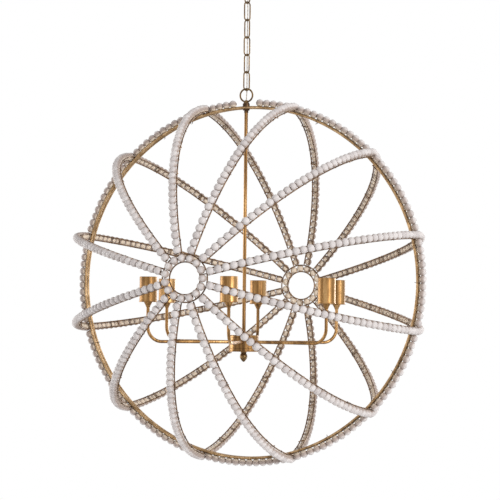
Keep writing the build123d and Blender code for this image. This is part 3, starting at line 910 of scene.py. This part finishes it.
@dataclass
class StemGroup:
    """Hanger loop, collar, nut, stem, hub, cover and finial on the stem's axis."""

    cord_bore: float = 0.0017
    stem_hole: float = 0.00405
    loop_middle: float = -0.3156
    loop_radius: float = 0.0144
    loop_wire: float = 0.0019
    collar_top: float = -0.3336
    collar_end: float = -0.3492
    collar_radius: float = 0.008
    nut_end: float = -0.3546
    nut_radius: float = 0.005
    nut_face: float = 0.9
    nut_ease: float = 0.0006
    stem_seat: float = 0.002
    stem_radius: float = 0.004
    stem_bore: float = 0.0025
    hub_top: float = GLOBE_LEVEL - 0.1168
    hub_end: float = hub_top - 0.0337
    hub_radius: float = 0.033
    hub_wall: float = 0.0015
    hub_ease: float = 0.0022
    cover_end: float = hub_end - 0.0025
    cover_radius: float = 0.0345
    stem_end: float = cover_end - 0.008
    tip: float = cover_end - 0.0228
    # Radius of the finial at shares of its length
    drop: tuple[Pair, ...] = (
        (0.0062, 0.0), (0.0066, 0.03), (0.0066, 0.1), (0.0058, 0.14), (0.0061, 0.19), (0.0072, 0.28),
        (0.0081, 0.38), (0.0084, 0.47), (0.0081, 0.57), (0.0072, 0.68), (0.0056, 0.79), (0.0036, 0.9),
        (0.0018, 0.97), (0.0008, 1.0),
    )

    def hanger(self) -> Shell:
        """Round ring on a small turned cone.

        Returns:
            Ring and cone as one surface.
        """
        cone = stepped(
            0, self.collar_top, (self.cord_bore, 0), (0.0062, 0), (0.0065, 0.0008), (0.0056, 0.0022),
            (0.0042, 0.0042), (0.0034, 0.0062), (0.0032, 0.007), (self.cord_bore, 0.007),
        )
        ring = hung_ring(self.loop_middle, self.loop_radius, self.loop_wire, 0, REARWARD)
        return Shell.merged([turned(cone, 28), ring])

    def collar(self) -> Shell:
        """Turned collar: a barrel with eased edges and a groove above and below the rods.

        Returns:
            The closed surface.
        """
        r, top, end = self.collar_radius, self.collar_top, self.collar_end
        seat = end + self.stem_seat
        return turned([
            (self.cord_bore, top),
            *stepped(r, top, (-0.0012, 0), (-0.0003, -0.0007), (0, -0.0016), (0, -0.003)),
            *stepped(r, top, (-0.0006, -0.0036), (0, -0.0042)),
            *stepped(r, end, (0, 0.003), (-0.0006, 0.0024), (0, 0.0018), (-0.0004, 0.0006), (-0.0014, 0)),
            (self.stem_hole, end), (self.stem_hole, seat), (self.cord_bore, seat),
        ], 36)

    def nut(self) -> Shell:
        """Six-sided nut with its corners eased at both faces.

        Returns:
            The closed surface.
        """
        r, hole, top, end, ease = self.nut_radius, self.stem_hole, self.collar_end, self.nut_end, self.nut_ease
        face = r * self.nut_face
        return turned([(hole, top), (face, top), (r, top - ease), (r, end + ease), (face, end), (hole, end)], 6)

    def stem(self) -> Shell:
        """Thin tube, open at both ends.

        Returns:
            The closed surface.
        """
        top, end = self.collar_end + self.stem_seat, self.stem_end
        outside = [(self.stem_radius, height) for height in np.linspace(top, end, 24)]
        return turned([*outside, (self.stem_bore, end), (self.stem_bore, top)], 20)

    def hub(self) -> Shell:
        """Spun drum, open below, with a rounded shoulder and two fine turned lines.

        Returns:
            The closed surface.
        """
        r, top, end, ease = self.hub_radius, self.hub_top, self.hub_end, self.hub_ease
        inner, under = r - self.hub_wall, top - self.hub_wall
        corner = np.linspace(0, np.pi / 2, 6)
        return turned([
            *[(r - ease + ease * math.sin(a), top - ease + ease * math.cos(a)) for a in corner],
            *stepped(r, top, (0, -0.0052), (-0.0004, -0.0056), (0, -0.006)),
            *stepped(r, end, (0, 0.005), (-0.0004, 0.0046), (0, 0.0042), (0, 0)),
            (inner, end), (inner, under), (self.stem_hole, under), (self.stem_hole, top),
        ], 64)

    def cover(self) -> Shell:
        """Plate with a rounded edge.

        Returns:
            The closed surface.
        """
        r, top, end = self.cover_radius, self.hub_end, self.cover_end
        edge = stepped(r, top, (-0.0008, 0), (-0.0002, -0.0005), (0, -0.00125), (-0.0002, -0.002))
        return turned([(self.stem_hole, top), *edge, (r - 0.0008, end), (self.stem_hole, end)], 64)

    def finial(self) -> Shell:
        """Drop-shaped nut: a ring at its head, a waist, a belly and a blunt tip.

        Returns:
            The closed surface.
        """
        top, length = self.cover_end, self.cover_end - self.tip
        skin = [(radius, top - length * share) for radius, share in self.drop]
        return turned([(0, top), *skin, (0, self.tip)], 32)

    def build(self) -> None:
        """Make the pieces on the axis."""
        put("round_hanger", self.hanger(), BRONZE, "hanger_loop")
        put("turned_collar", self.collar(), UMBER, "top_collar", 30)
        put("hex_nut", self.nut(), UMBER, "stem_nut", 20)
        put("long_stem", self.stem(), GOLD, "stem_tube")
        put("drum_hub", self.hub(), GOLD, "hub_body", 30)
        put("drum_cover", self.cover(), GOLD, "hub_cover", 30)
        put("drop_finial", self.finial(), BRONZE, "finial")


@dataclass
class ArmGroup:
    """Six bent arms with couplings, cups and lampholders."""

    count: int = 6
    first_turn: float = -79.0
    start: float = 0.0255
    reach: float = 0.224
    level: float = GLOBE_LEVEL - 0.132
    bend: float = 0.032
    tube: float = 0.0036
    tube_hole: float = 0.00365
    foot: float = GLOBE_LEVEL - 0.0466
    rim: float = foot + 0.055
    top: float = foot + 0.0095
    coupling_length: float = 0.011
    cup_radius: float = 0.019
    lip_radius: float = 0.02
    wall: float = 0.0012
    floor: float = 0.0015
    holder_radius: float = 0.0173
    holder_top: float = rim - 0.0044
    holder_foot: float = foot + floor
    bore_radius: float = 0.0133
    bore_depth: float = 0.028
    lead_hole: float = 0.0015
    tube_seat: float = 0.008
    thread_pitch: float = 0.0036
    thread_depth: float = 0.00035
    contact_radius: float = 0.0048
    contact_rise: float = 0.0016

    def turns(self) -> np.ndarray:
        """Turn of each arm about the stem, in radians."""
        return np.radians(self.first_turn + np.arange(self.count) * 360 / self.count)

    def arm(self, turn: float) -> Shell:
        """One arm: level out of the hub, a quarter circle, then straight up into the cup.

        Args:
            turn: The arm's turn about the stem.

        Returns:
            The bent tube.
        """
        angle = np.linspace(-np.pi / 2, 0, 17)
        corner, bend, level = self.reach - self.bend, self.bend, self.level
        out = np.linspace(self.start, corner, 14)[:-1]
        rise = np.linspace(level + bend, self.top, 7)[1:]
        outward = np.concatenate([out, corner + bend * np.cos(angle), np.full(len(rise), self.reach)])
        height = np.concatenate([np.full(len(out), level), level + bend + bend * np.sin(angle), rise])
        way, normal = upright_plane(turn)
        return bar(outward[:, None] * way + height[:, None] * UPRIGHT, self.tube, 14, -normal)

    def ring_of(self, shape: Shell) -> Shell:
        """One copy of a turned shape on the axis of every cup.

        Args:
            shape: The shape about the upright axis.

        Returns:
            All the copies as one surface.
        """
        turns = self.turns()
        outward = np.stack([np.cos(turns), np.sin(turns), 0 * turns], -1)
        return copied(shape, self.reach * outward, framed(np.broadcast_to(UPRIGHT, outward.shape), outward))

    def coupling(self) -> Shell:
        """Flared cone with a fine ring at its foot.

        Returns:
            The closed surface.
        """
        hole, foot, end = self.tube_hole, self.foot, self.foot - self.coupling_length
        return turned([
            *stepped(0, foot, (hole, 0), (0.0088, 0), (0.009, -0.0006), (0.0088, -0.0014), (0.0068, -0.0048)),
            *stepped(0, foot, (0.0053, -0.0078), (0.0046, -0.0094)),
            *stepped(0, end, (0.0046, 0.0004), (0.0043, 0), (hole, 0)),
        ], 28)

    def cup(self) -> Shell:
        """Straight cup with a lip at its foot and a thin rolled rim.

        Returns:
            The closed surface.
        """
        r, hole, foot, rim, wall = self.cup_radius, self.tube_hole, self.foot, self.rim, self.wall
        return turned([
            (hole, foot),
            *stepped(self.lip_radius, foot, (-0.0006, 0), (0, 0.0005), (0, 0.0014), (-0.0004, 0.002)),
            *stepped(r, foot, (0.0001, 0.0024), (0, 0.0032)),
            (r, (foot + rim) / 2),
            *stepped(r, rim, (0, -0.0008), (-0.0003, -0.0002), (-wall / 2, 0)),
            *stepped(r - wall, rim, (0.0002, -0.0002), (0, -0.0008)),
            (r - wall, self.holder_foot), (hole, self.holder_foot),
        ], 48)

    def holder(self) -> Shell:
        """Phenolic barrel with a rounded mouth, open down to its floor.

        Returns:
            The closed surface.
        """
        r, bore, top, foot = self.holder_radius, self.bore_radius, self.holder_top, self.holder_foot
        base, seat = top - self.bore_depth, foot + self.tube_seat
        return turned([
            (self.tube_hole, foot), (r, foot),
            *stepped(r, top, (0, -0.0012), (-0.0004, -0.0003), (-0.0012, 0)),
            *stepped(bore, top, (0.0016, 0), (0.0008, -0.0002), (0.0004, -0.0008)),
            (bore + 0.0004, base), (self.lead_hole, base), (self.lead_hole, seat), (self.tube_hole, seat),
        ], 40)

    def thread_sleeve(self) -> Shell:
        """Thin threaded sleeve in the mouth: its radius swings as a cosine of the height.

        Returns:
            The closed surface.
        """
        top, base = self.holder_top - 0.0015, self.holder_top - self.bore_depth + 0.0004
        height = np.linspace(top, base, 44)
        wave = self.thread_depth * np.cos((height - top) / self.thread_pitch * 2 * np.pi)
        inner = list(zip(self.bore_radius - 0.0004 + wave, height))
        back = self.bore_radius + 0.0003
        return turned([*inner, (back, base), (back, top)], 32)

    def contact(self) -> Shell:
        """Sprung tongue at the floor of the mouth, drawn as a low dome.

        Returns:
            The closed surface.
        """
        base = self.holder_top - self.bore_depth + 0.0001
        angles = np.linspace(0, np.pi / 2, 6)[:-1]
        dome = [(self.contact_radius * math.cos(a), base + self.contact_rise * math.sin(a)) for a in angles]
        return turned([(0, base), *dome, (0, base + self.contact_rise)], 20)

    def build(self) -> None:
        """Make every arm, and the six couplings, cups and lampholders as groups."""
        for number, turn in enumerate(self.turns(), 1):
            put(f"bent_arm_{number}", self.arm(turn), GOLD, f"arm_{number}")
        put("flared_couplings", self.ring_of(self.coupling()), GOLD, "cup_couplings")
        put("candle_cups", self.ring_of(self.cup()), GOLD, "cups", 32)
        put("lamp_barrels", self.ring_of(self.holder()), PHENOLIC, "lampholders", 32)
        put("lamp_threads", self.ring_of(self.thread_sleeve()), SHELL_BRASS)
        put("lamp_contacts", self.ring_of(self.contact()), SHELL_BRASS)
        dress("arm_leads", SLEEVE)


@dataclass
class GlobeFrame:
    """Ribs, hoop, pole rings, their ties and all the beads."""

    rib_count: int = 12
    bead_radius: float = 0.00875
    bead_half: float = 0.0078
    bead_bore: float = 0.0015
    bead_sides: int = 12
    bead_seat: float = 0.008375
    bead_turn: float = 2.0793697
    bead_lean: float = 0.06
    bead_shrink: float = 0.06
    bead_lump: float = 0.02
    bead_crease: float = 60
    half_beads: int = 34
    arc_radius: float = 0.443
    arc_out: float = -0.0490089
    arc_along: float = -0.043248
    wire_half_gap: float = 0.00625
    wire: float = 0.0015
    wire_turn: float = 71.42
    rung_drop: float = 0.00285
    rung: float = 0.0012
    rung_half: float = 0.00775
    rung_ease: float = 0.0004
    rung_runs: tuple[float, ...] = (0.11, 0.267, 0.354)
    hoop_ring: float = 0.3865659
    hoop_half_gap: float = 0.006
    hoop_rod: float = 0.003
    hoop_sides: int = 14
    hoop_bead_ring: float = 0.3969004
    hoop_run_beads: int = 12
    hoop_bead_turn: float = 2.2838959
    hoop_run_start: float = 2.4385723
    bare_half: float = 0.01695
    ring_beads: int = 15
    ring_bead_radius: float = 0.041
    ring_bead_depth: float = 0.3958409
    ring_wire_depth: float = 0.3888309
    ring_inner: float = 0.03325
    ring_outer: float = 0.04875
    spokes: int = 5
    spoke_drop: float = 0.0023
    spoke_half: float = 0.0085
    tie_wire: float = 0.0004
    tie_points: int = 20
    tie_slant: float = 0.12
    tie_gaps: tuple[int, int] = (3, 7)
    rib_half_ties: int = 8
    rib_end_wire: float = 0.0006
    rib_end_length: Pair = (0.0015, 0.0032)
    rib_end_bend: float = 0.002
    hoop_end_wire: float = 0.0009
    hoop_end_length: float = 0.0048
    hoop_end_bend: Pair = (0.004, 0.006)
    hoop_tie_turns: tuple[float, ...] = (122.0, 111.0, 66.0, 0.0, -30.0, -61.0, 201.0, 244.0)
    rib_seed: int = 100
    hoop_seed: int = 300
    ring_seed: int = 400
    tie_seed: int = 500
    # How far the painted side shade and the tan inward tone reach round on the hoop's and the rings' beads.
    hoop_shade_shift: float = 0.2
    ring_shade_shift: float = 0.4

    def rib_turns(self) -> np.ndarray:
        """Turn of each rib about the line through the poles, in radians."""
        return np.radians((np.arange(self.rib_count) + 0.5) * 360 / self.rib_count)

    @staticmethod
    def rib_axes(turn: float) -> tuple[np.ndarray, np.ndarray]:
        """Outward at the hoop, and square to the rib."""
        return np.array([math.cos(turn), 0, math.sin(turn)]), np.array([-math.sin(turn), 0, math.cos(turn)])

    def arc(self, turn: float, run: np.ndarray, lift: float | np.ndarray, aside: float | np.ndarray) -> np.ndarray:
        """Points of a rib: two arcs that meet at the hoop, each about a middle of its own.

        A half's point is its middle + (arc radius + lift) (cos a outward + sin a poleward) + aside sideways, where
        the angle a starts where that circle crosses the hoop's plane.

        Args:
            turn: The rib's turn.
            run: Angles from the hoop along the arcs, toward the rear pole where positive.
            lift: Distance outward from the wires' line.
            aside: Distance off the rib's plane.

        Returns:
            One point for each angle.
        """
        outward, side = self.rib_axes(turn)
        reach = self.arc_radius + np.broadcast_to(lift, run.shape)
        angle = np.arcsin(-self.arc_along / reach) + abs(run)
        out = self.arc_out + reach * np.cos(angle)
        along = np.sign(run) * (self.arc_along + reach * np.sin(angle))
        off = np.broadcast_to(aside, run.shape)
        return CENTRE + out[:, None] * outward + along[:, None] * REARWARD + off[:, None] * side

    def bead(self) -> Shell:
        """One bead about its bore: a ball with a flat at each end of the bore, and the bore's wall.

        Returns:
            The bead, with the tag bore: 1 at its hole, less on the flats and 0 on the ball.
        """
        r, half, bore = self.bead_radius, self.bead_half, self.bead_bore
        cut = math.acos(half / r)
        skin = [(r * math.sin(a), r * math.cos(a)) for a in np.linspace(cut, np.pi - cut, 5)]
        shell = turned([(bore, half), *skin, (bore, -half)], self.bead_sides)
        return shell.tagged("bore", np.repeat([1.0, 0.3, 0, 0, 0, 0.3, 1.0], self.bead_sides))

    def strand(self, spots: np.ndarray, along: np.ndarray, seed: int, wear_and_shade: float = 0.0) -> Shell:
        """Beads on their spots, each a little smaller, squeezed, tilted and seated inward by chance.

        Args:
            spots: The beads' places.
            along: Direction of the thread at each bead.
            seed: Seed of the chances.
            wear_and_shade: How far the painted side shade and the tan inward tone reach round towards the outward
                side.

        Returns:
            The beads, with tags seed, inner, bore and grain_at.
        """
        chance = np.random.default_rng(seed)
        count = len(spots)
        outward = unit(spots - CENTRE)
        lean = unit(along + chance.normal(0, self.bead_lean, (count, 3)))
        across = unit(outward - np.einsum("ni,ni->n", outward, lean)[:, None] * lean)
        spin = chance.uniform(0, 2 * np.pi, (count, 1))
        first = np.cos(spin) * across + np.sin(spin) * np.cross(lean, across)
        shape = self.bead()
        ball = shape.points / self.bead_radius
        size = 1 - chance.beta(1.6, 4, count) * self.bead_shrink
        around = np.arctan2(ball[:, 1], ball[:, 0])
        lump = self.bead_lump * chance.random((count, 1)) * (0.5 + 0.5 * np.cos(2 * around + spin))
        seated = spots - outward * ((1 - size) * self.bead_radius)[:, None]
        axes = framed(lean, first)
        made = copied(shape, seated, axes, size[:, None] * (1 - lump))
        faces_in = -np.einsum("nij,pj,ni->np", axes, ball, outward)
        # The shift moves the painted side shade and the tan inward tone towards the outward side.
        made.tagged("inner", faces_in.ravel() + wear_and_shade)
        made.tagged("seed", np.repeat(chance.random(count), len(shape.points)))
        grain = shape.points[None] + chance.uniform(-1, 1, (count, 1, 3))
        return made.tagged("grain_at", grain.reshape(-1, 3))

    def rib_strand(self, number: int, turn: float) -> Shell:
        """The beads of one rib.

        Args:
            number: The rib's number.
            turn: The rib's turn.

        Returns:
            The strand of beads.
        """
        run = np.radians(self.bead_turn * np.arange(-self.half_beads, self.half_beads + 1))
        spots = self.arc(turn, run, self.bead_seat, 0.0)
        return self.strand(spots, unit(np.gradient(spots, axis=0)), self.rib_seed + number)

    def rib_wires(self, turn: float) -> Shell:
        """The two wires of one rib, from ring to ring over the hoop.

        Args:
            turn: The rib's turn.

        Returns:
            Both wires as one surface.
        """
        run = np.radians(np.linspace(-self.wire_turn, self.wire_turn, 131))
        side = self.rib_axes(turn)[1]
        gaps = (-self.wire_half_gap, self.wire_half_gap)
        return Shell.merged([bar(self.arc(turn, run, 0.0, aside), self.wire, 10, side) for aside in gaps])

    def rungs(self) -> Shell:
        """Short round bars across the inner side of every rib, with eased ends.

        Returns:
            All the rungs as one surface.
        """
        run = np.array([*self.rung_runs, *[-length for length in self.rung_runs]]) / self.arc_radius
        half, r, ease = self.rung_half, self.rung, self.rung_ease
        ends = [(r * 0.7, half), (r, half - ease), (r, 0), (r, ease - half), (r * 0.7, -half)]
        shape = turned([(0, half), *ends, (0, -half)], 8)
        bars = []
        for turn in self.rib_turns():
            spots = self.arc(turn, run, -self.rung_drop, 0.0)
            level = unit(spots - CENTRE)
            bars.append(copied(shape, spots, framed(np.broadcast_to(self.rib_axes(turn)[1], level.shape), level)))
        return Shell.merged(bars)

    def tie(self, half_gap: float, rod: float) -> tuple[np.ndarray, np.ndarray]:
        """Sideways and radial reach of a wire tied once round two rods: a box with rounded corners.

        Args:
            half_gap: Half the distance between the rods.
            rod: Radius of a rod.

        Returns:
            The sideways and the radial distance from the middle between the rods, for each point of the loop.
        """
        angle = circle(self.tie_points)
        wide, high = half_gap + rod + self.tie_wire, rod + self.tie_wire
        sideways = wide * np.sign(np.cos(angle)) * abs(np.cos(angle)) ** 0.5
        radial = high * np.sign(np.sin(angle)) * abs(np.sin(angle)) ** 0.5
        return sideways, radial

    def rib_ties(self, number: int, turn: float) -> Shell:
        """Thin wire tied round the wires of a rib in some gaps between the beads, each with a twisted end inside.

        Args:
            number: The rib's number.
            turn: The rib's turn.

        Returns:
            All the ties of the rib as one surface.
        """
        chance = np.random.default_rng(self.tie_seed + number)
        gaps = np.cumsum(chance.integers(*self.tie_gaps, self.rib_half_ties)) + 0.5
        gaps = np.concatenate([-gaps, gaps])
        sideways, radial = self.tie(self.wire_half_gap, self.wire)
        sway = self.tie_slant * np.sin(circle(self.tie_points))
        share = np.linspace(0, 1, 6)
        ties = []
        for gap in gaps[abs(gaps) < self.half_beads]:
            loop = self.arc(turn, np.radians(self.bead_turn * (gap + sway)), radial, sideways)
            ties.append(bar(loop, self.tie_wire, 5, unit(loop.mean(0) - CENTRE) + 0.01, True))
            foot = self.wire_half_gap * chance.uniform(-0.9, 0.9)
            run = np.radians(self.bead_turn * (gap + 0.1 * share * chance.uniform(-1, 1)))
            drop = -self.wire - self.tie_wire - chance.uniform(*self.rib_end_length) * share
            path = self.arc(turn, run, drop, foot + self.rib_end_bend * share**2)
            ties.append(bar(path, self.rib_end_wire * (1.05 - 0.5 * share), 5, self.rib_axes(turn)[1]))
        return Shell.merged(ties)

    def hoop_spot(self, angle: np.ndarray, radius: float | np.ndarray, aside: float | np.ndarray) -> np.ndarray:
        """Points about the hoop: centre + radius (cos a, 0, sin a), aside along Y.

        Args:
            angle: Angles from the right.
            radius: Distance from the globe's middle, or one for each angle.
            aside: Distance toward the rear, or one for each angle.

        Returns:
            One point for each angle.
        """
        reach = np.broadcast_to(radius, angle.shape)
        off = np.broadcast_to(aside, angle.shape)
        return CENTRE + np.stack([reach * np.cos(angle), off, reach * np.sin(angle)], -1)

    def hoop_rods(self) -> Shell:
        """Two rods side by side.

        Returns:
            Both rods, with the tag outer: the cosine of the angle from the outward side.
        """
        angle = circle(240)
        rods = []
        for aside in (-self.hoop_half_gap, self.hoop_half_gap):
            path = self.hoop_spot(angle, self.hoop_ring, aside)
            rod = bar(path, self.hoop_rod, self.hoop_sides, unit(path - CENTRE), True)
            rods.append(rod.tagged("outer", np.tile(np.cos(circle(self.hoop_sides)), len(path))))
        return Shell.merged(rods)

    def hoop_strand(self) -> Shell:
        """The beads on the hoop between the ribs, none at the hanger.

        Returns:
            The strand of beads.
        """
        run = np.radians(self.hoop_run_start + self.hoop_bead_turn * np.arange(self.hoop_run_beads))
        angle = (self.rib_turns()[:, None] + run).ravel()
        spots = self.hoop_spot(angle, self.hoop_bead_ring, 0.0)
        kept = (abs(spots[:, 0]) > self.bare_half) | (spots[:, 2] < GLOBE_LEVEL)
        along = np.stack([-np.sin(angle), 0 * angle, np.cos(angle)], -1)
        return self.strand(spots[kept], along[kept], self.hoop_seed, self.hoop_shade_shift)

    def hoop_ties(self) -> Shell:
        """Thin wire tied round both hoop rods between some beads, each with a twisted end inside.

        Returns:
            All the ties of the hoop as one surface.
        """
        sideways, radial = self.tie(self.hoop_half_gap, self.hoop_rod)
        share = np.linspace(0, 1, 7)
        bend, lean = self.hoop_end_bend
        ties = []
        for turn in np.radians(self.hoop_tie_turns):
            loop = self.hoop_spot(np.full(self.tie_points, turn), self.hoop_ring + radial, sideways)
            ties.append(bar(loop, self.tie_wire, 5, np.array([-math.sin(turn), 0.01, math.cos(turn)]), True))
            inward = self.hoop_ring - self.hoop_rod - self.hoop_end_length * share
            path = self.hoop_spot(turn + bend * share**2, inward, self.hoop_half_gap - lean * share**2)
            ties.append(bar(path, self.hoop_end_wire * (1.05 - 0.45 * share), 6, REARWARD))
        return Shell.merged(ties)

    def ring_line(self, end: int, depth: float, radius: float, count: int) -> np.ndarray:
        """Circle about the poles' line: centre + (radius cos a, end depth, radius sin a).

        Args:
            end: -1 at the front pole, 1 at the rear one.
            depth: Distance from the hoop's plane.
            radius: Radius of the circle.
            count: Points around.

        Returns:
            The points.
        """
        angle = circle(count)
        return CENTRE + np.stack([radius * np.cos(angle), np.full(count, end * depth), radius * np.sin(angle)], -1)

    def pole_ring(self, end: int) -> Shell:
        """Two wire rings joined by short spokes behind the gaps between the beads.

        Args:
            end: -1 at the front pole, 1 at the rear one.

        Returns:
            Rings and spokes as one surface.
        """
        rings = [
            bar(self.ring_line(end, self.ring_wire_depth, radius, 72), self.wire, 10, REARWARD, True)
            for radius in (self.ring_inner, self.ring_outer)
        ]
        behind = self.ring_wire_depth - self.spoke_drop
        step = 2 * np.pi / self.spokes
        angle = np.arange(self.spokes) * step + step / 6
        outward = np.stack([np.cos(angle), 0 * angle, -end * np.sin(angle)], -1)
        spots = CENTRE + outward * self.ring_bead_radius + np.array([0, end * behind, 0])
        half, r = self.spoke_half, self.rung
        shape = turned([(0, half), (r, half), (r, 0), (r, -half), (0, -half)], 8)
        spokes = copied(shape, spots, framed(outward, np.broadcast_to(REARWARD, outward.shape)))
        return Shell.merged([*rings, spokes])

    def ring_strand(self) -> Shell:
        """The beads of both pole rings.

        Returns:
            The two strands of beads as one surface.
        """
        depth, radius = self.ring_bead_depth, self.ring_bead_radius
        lines = [self.ring_line(end, depth, radius, self.ring_beads) for end in (-1, 1)]
        along = [unit(np.roll(line, -1, 0) - np.roll(line, 1, 0)) for line in lines]
        return self.strand(np.concatenate(lines), np.concatenate(along), self.ring_seed, self.ring_shade_shift)

    def build(self) -> None:
        """Make the wires, rods, ties and beads of the globe."""
        for number, turn in enumerate(self.rib_turns(), 1):
            label = f"{number:02d}"
            put(f"rib_wires_{label}", self.rib_wires(turn), WIRE, f"rib_{label}")
            put(f"rib_ties_{label}", self.rib_ties(number, turn), STRING)
            put(f"rib_strand_{label}", self.rib_strand(number, turn), WOOD, f"rib_beads_{label}", self.bead_crease)
        put("rib_crossbars", self.rungs(), WIRE, "rib_rungs")
        put("twin_hoop", self.hoop_rods(), LEAF, "hoop_rods")
        put("hoop_strand", self.hoop_strand(), WOOD, "hoop_beads", self.bead_crease)
        put("hoop_ties", self.hoop_ties(), STRING)
        put("front_pole_ring", self.pole_ring(-1), WIRE, "front_ring")
        put("rear_pole_ring", self.pole_ring(1), WIRE, "rear_ring")
        put("pole_strands", self.ring_strand(), WOOD, "ring_beads", self.bead_crease)
        dress("bead_strings", STRING)


@dataclass
class Studio:
    """Camera at the photograph's angle, soft lamps, white surroundings and a pale floor."""

    aim: Point = (0.0, 0.0, GLOBE_LEVEL)
    distance: float = 4.4
    azimuth: float = 19.256
    rise: float = -0.0779
    yaw: float = -0.151
    pitch: float = 1.942
    roll: float = 0.616
    sensor: float = 36
    focal: float = 1992 / 500
    floor_level: float = -2.7
    floor_reach: float = 4.0
    floor_hole: float = 0.02
    floor_rings: int = 24
    floor_sides: int = 64
    floor_fade: Pair = (0.5, 0.97)
    floor_glow: float = 0.2
    surround: float = 0.34
    # Name, place from the globe's middle, side of the square and watts of each lamp
    lamps: tuple[tuple[str, Point, float, float], ...] = (
        ("key", (6.3, -3.9, 1.9), 4.0, 430),
        ("fill", (-4.4, -5.5, -2.0), 5.0, 76),
        ("left", (-7.4, 0.4, 0.4), 5.0, 320),
        ("rear", (1.4, 7.4, 0.8), 5.0, 320),
        ("overhead", (0.5, 1.0, 6.0), 5.0, 30),
    )

    def camera(self) -> None:
        """Set the camera by its place, its direction and its roll."""
        around, heading = math.radians(self.azimuth), math.radians(self.azimuth + self.yaw)
        pitch, roll = math.radians(self.pitch), math.radians(self.roll)
        offset = (self.distance * math.sin(around), -self.distance * math.cos(around), self.rise)
        ahead = Vector((-math.sin(heading) * math.cos(pitch), math.cos(heading) * math.cos(pitch), math.sin(pitch)))
        level = Vector((math.cos(heading), math.sin(heading), 0))
        up = level.cross(ahead)
        right = level * math.cos(roll) + up * math.sin(roll)
        up = up * math.cos(roll) - level * math.sin(roll)
        lens = bpy.data.cameras.new("photo_camera")
        lens.sensor_width = self.sensor
        lens.lens = self.sensor * self.focal
        camera = bpy.data.objects.new("photo_camera", lens)
        camera.matrix_world = Matrix((right, up, -ahead)).transposed().to_4x4()
        camera.location = Vector(self.aim) + Vector(offset)
        bpy.context.scene.collection.objects.link(camera)
        bpy.context.scene.camera = camera

    def lamp(self, name: str, offset: Point, size: float, power: float) -> None:
        """A square soft lamp that looks at the globe.

        Args:
            name: The lamp's name.
            offset: Its place from the globe's middle.
            size: Side of the square.
            power: Its power in watts.
        """
        light = bpy.data.lights.new(name, "AREA")
        light.size = size
        light.energy = power
        lamp = bpy.data.objects.new(name, light)
        lamp.location = Vector(self.aim) + Vector(offset)
        lamp.rotation_euler = (-Vector(offset)).to_track_quat("-Z", "Y").to_euler()
        lamp.visible_camera = False
        bpy.context.scene.collection.objects.link(lamp)

    def surroundings(self) -> None:
        """White world for what is seen straight, in gloss or through glass, and a soft grey one for shading."""
        world = bpy.data.worlds.new("white_studio")
        bpy.context.scene.world = world
        world.use_nodes = True
        graph = Graph(world.node_tree)
        seen = graph.ray("Camera").most(graph.ray("Glossy")).most(graph.ray("Transmission"))
        strength = self.surround + seen * (1 - self.surround)
        sky = graph.node("ShaderNodeBackground", None, {"Color": (1.0, 1.0, 1.0), "Strength": strength})
        graph.node("ShaderNodeOutputWorld", None, {"Surface": sky})

    def floor_finish(self) -> bpy.types.Material:
        """Pale and matt, clear toward the rim and from below.

        Returns:
            The floor's material.
        """
        material = bpy.data.materials.new("pale_floor")
        material.use_nodes = True
        graph = Graph(material.node_tree)
        flat = graph.place((1.0, 1.0, 0.0))
        away = graph.node("ShaderNodeVectorMath", {"operation": "LENGTH"}, {0: flat}, "Value")
        dull = graph.node("ShaderNodeBsdfDiffuse", None, {"Color": (0.9, 0.9, 0.9)})
        glow = graph.node("ShaderNodeEmission", None, {"Strength": graph.ray("Camera") * self.floor_glow})
        pale = graph.node("ShaderNodeAddShader", None, {0: dull, 1: glow})
        clear = graph.node("ShaderNodeBsdfTransparent")
        under = graph.node("ShaderNodeNewGeometry", output="Backfacing")
        near, far = self.floor_fade
        fade = away.step(near * self.floor_reach, far * self.floor_reach).most(under)
        shade = graph.node("ShaderNodeMixShader", None, {0: fade, 1: pale, 2: clear})
        graph.node("ShaderNodeOutputMaterial", None, {"Surface": shade})
        return material

    def floor(self) -> None:
        """Pale round floor that fades into the white surroundings, with the shadow on it."""
        rings, sides = self.floor_rings, self.floor_sides
        reach = np.linspace(self.floor_hole, self.floor_reach, rings)
        ring, turn = np.meshgrid(reach, circle(sides), indexing="ij")
        spots = np.stack([ring * np.cos(turn), ring * np.sin(turn), np.full(ring.shape, self.floor_level)], -1)
        mesh = bpy.data.meshes.new("studio_floor")
        faces = lattice(rings, sides, False, True)[:, ::-1]
        mesh.from_pydata(spots.reshape(-1, 3).tolist(), [], [*faces.tolist(), list(range(sides))])
        mesh.materials.append(self.floor_finish())
        floor = bpy.data.objects.new("studio_floor", mesh)
        bpy.context.scene.collection.objects.link(floor)

    def build(self) -> None:
        """Set up camera, lamps, surroundings and floor."""
        bpy.context.scene.view_settings.view_transform = "Standard"
        self.camera()
        self.surroundings()
        self.floor()
        for lamp in self.lamps:
            self.lamp(*lamp)


def main() -> None:
    """Build the studio and every sub-assembly."""
    logging.basicConfig(level=logging.INFO, format="%(message)s")
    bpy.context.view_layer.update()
    for part in (Studio(), Cord(), CeilingEnd(), Chain(), StemGroup(), ArmGroup(), GlobeFrame()):
        part.build()
        log.info("%s done", type(part).__name__)


if __name__ == "__main__":
    main()
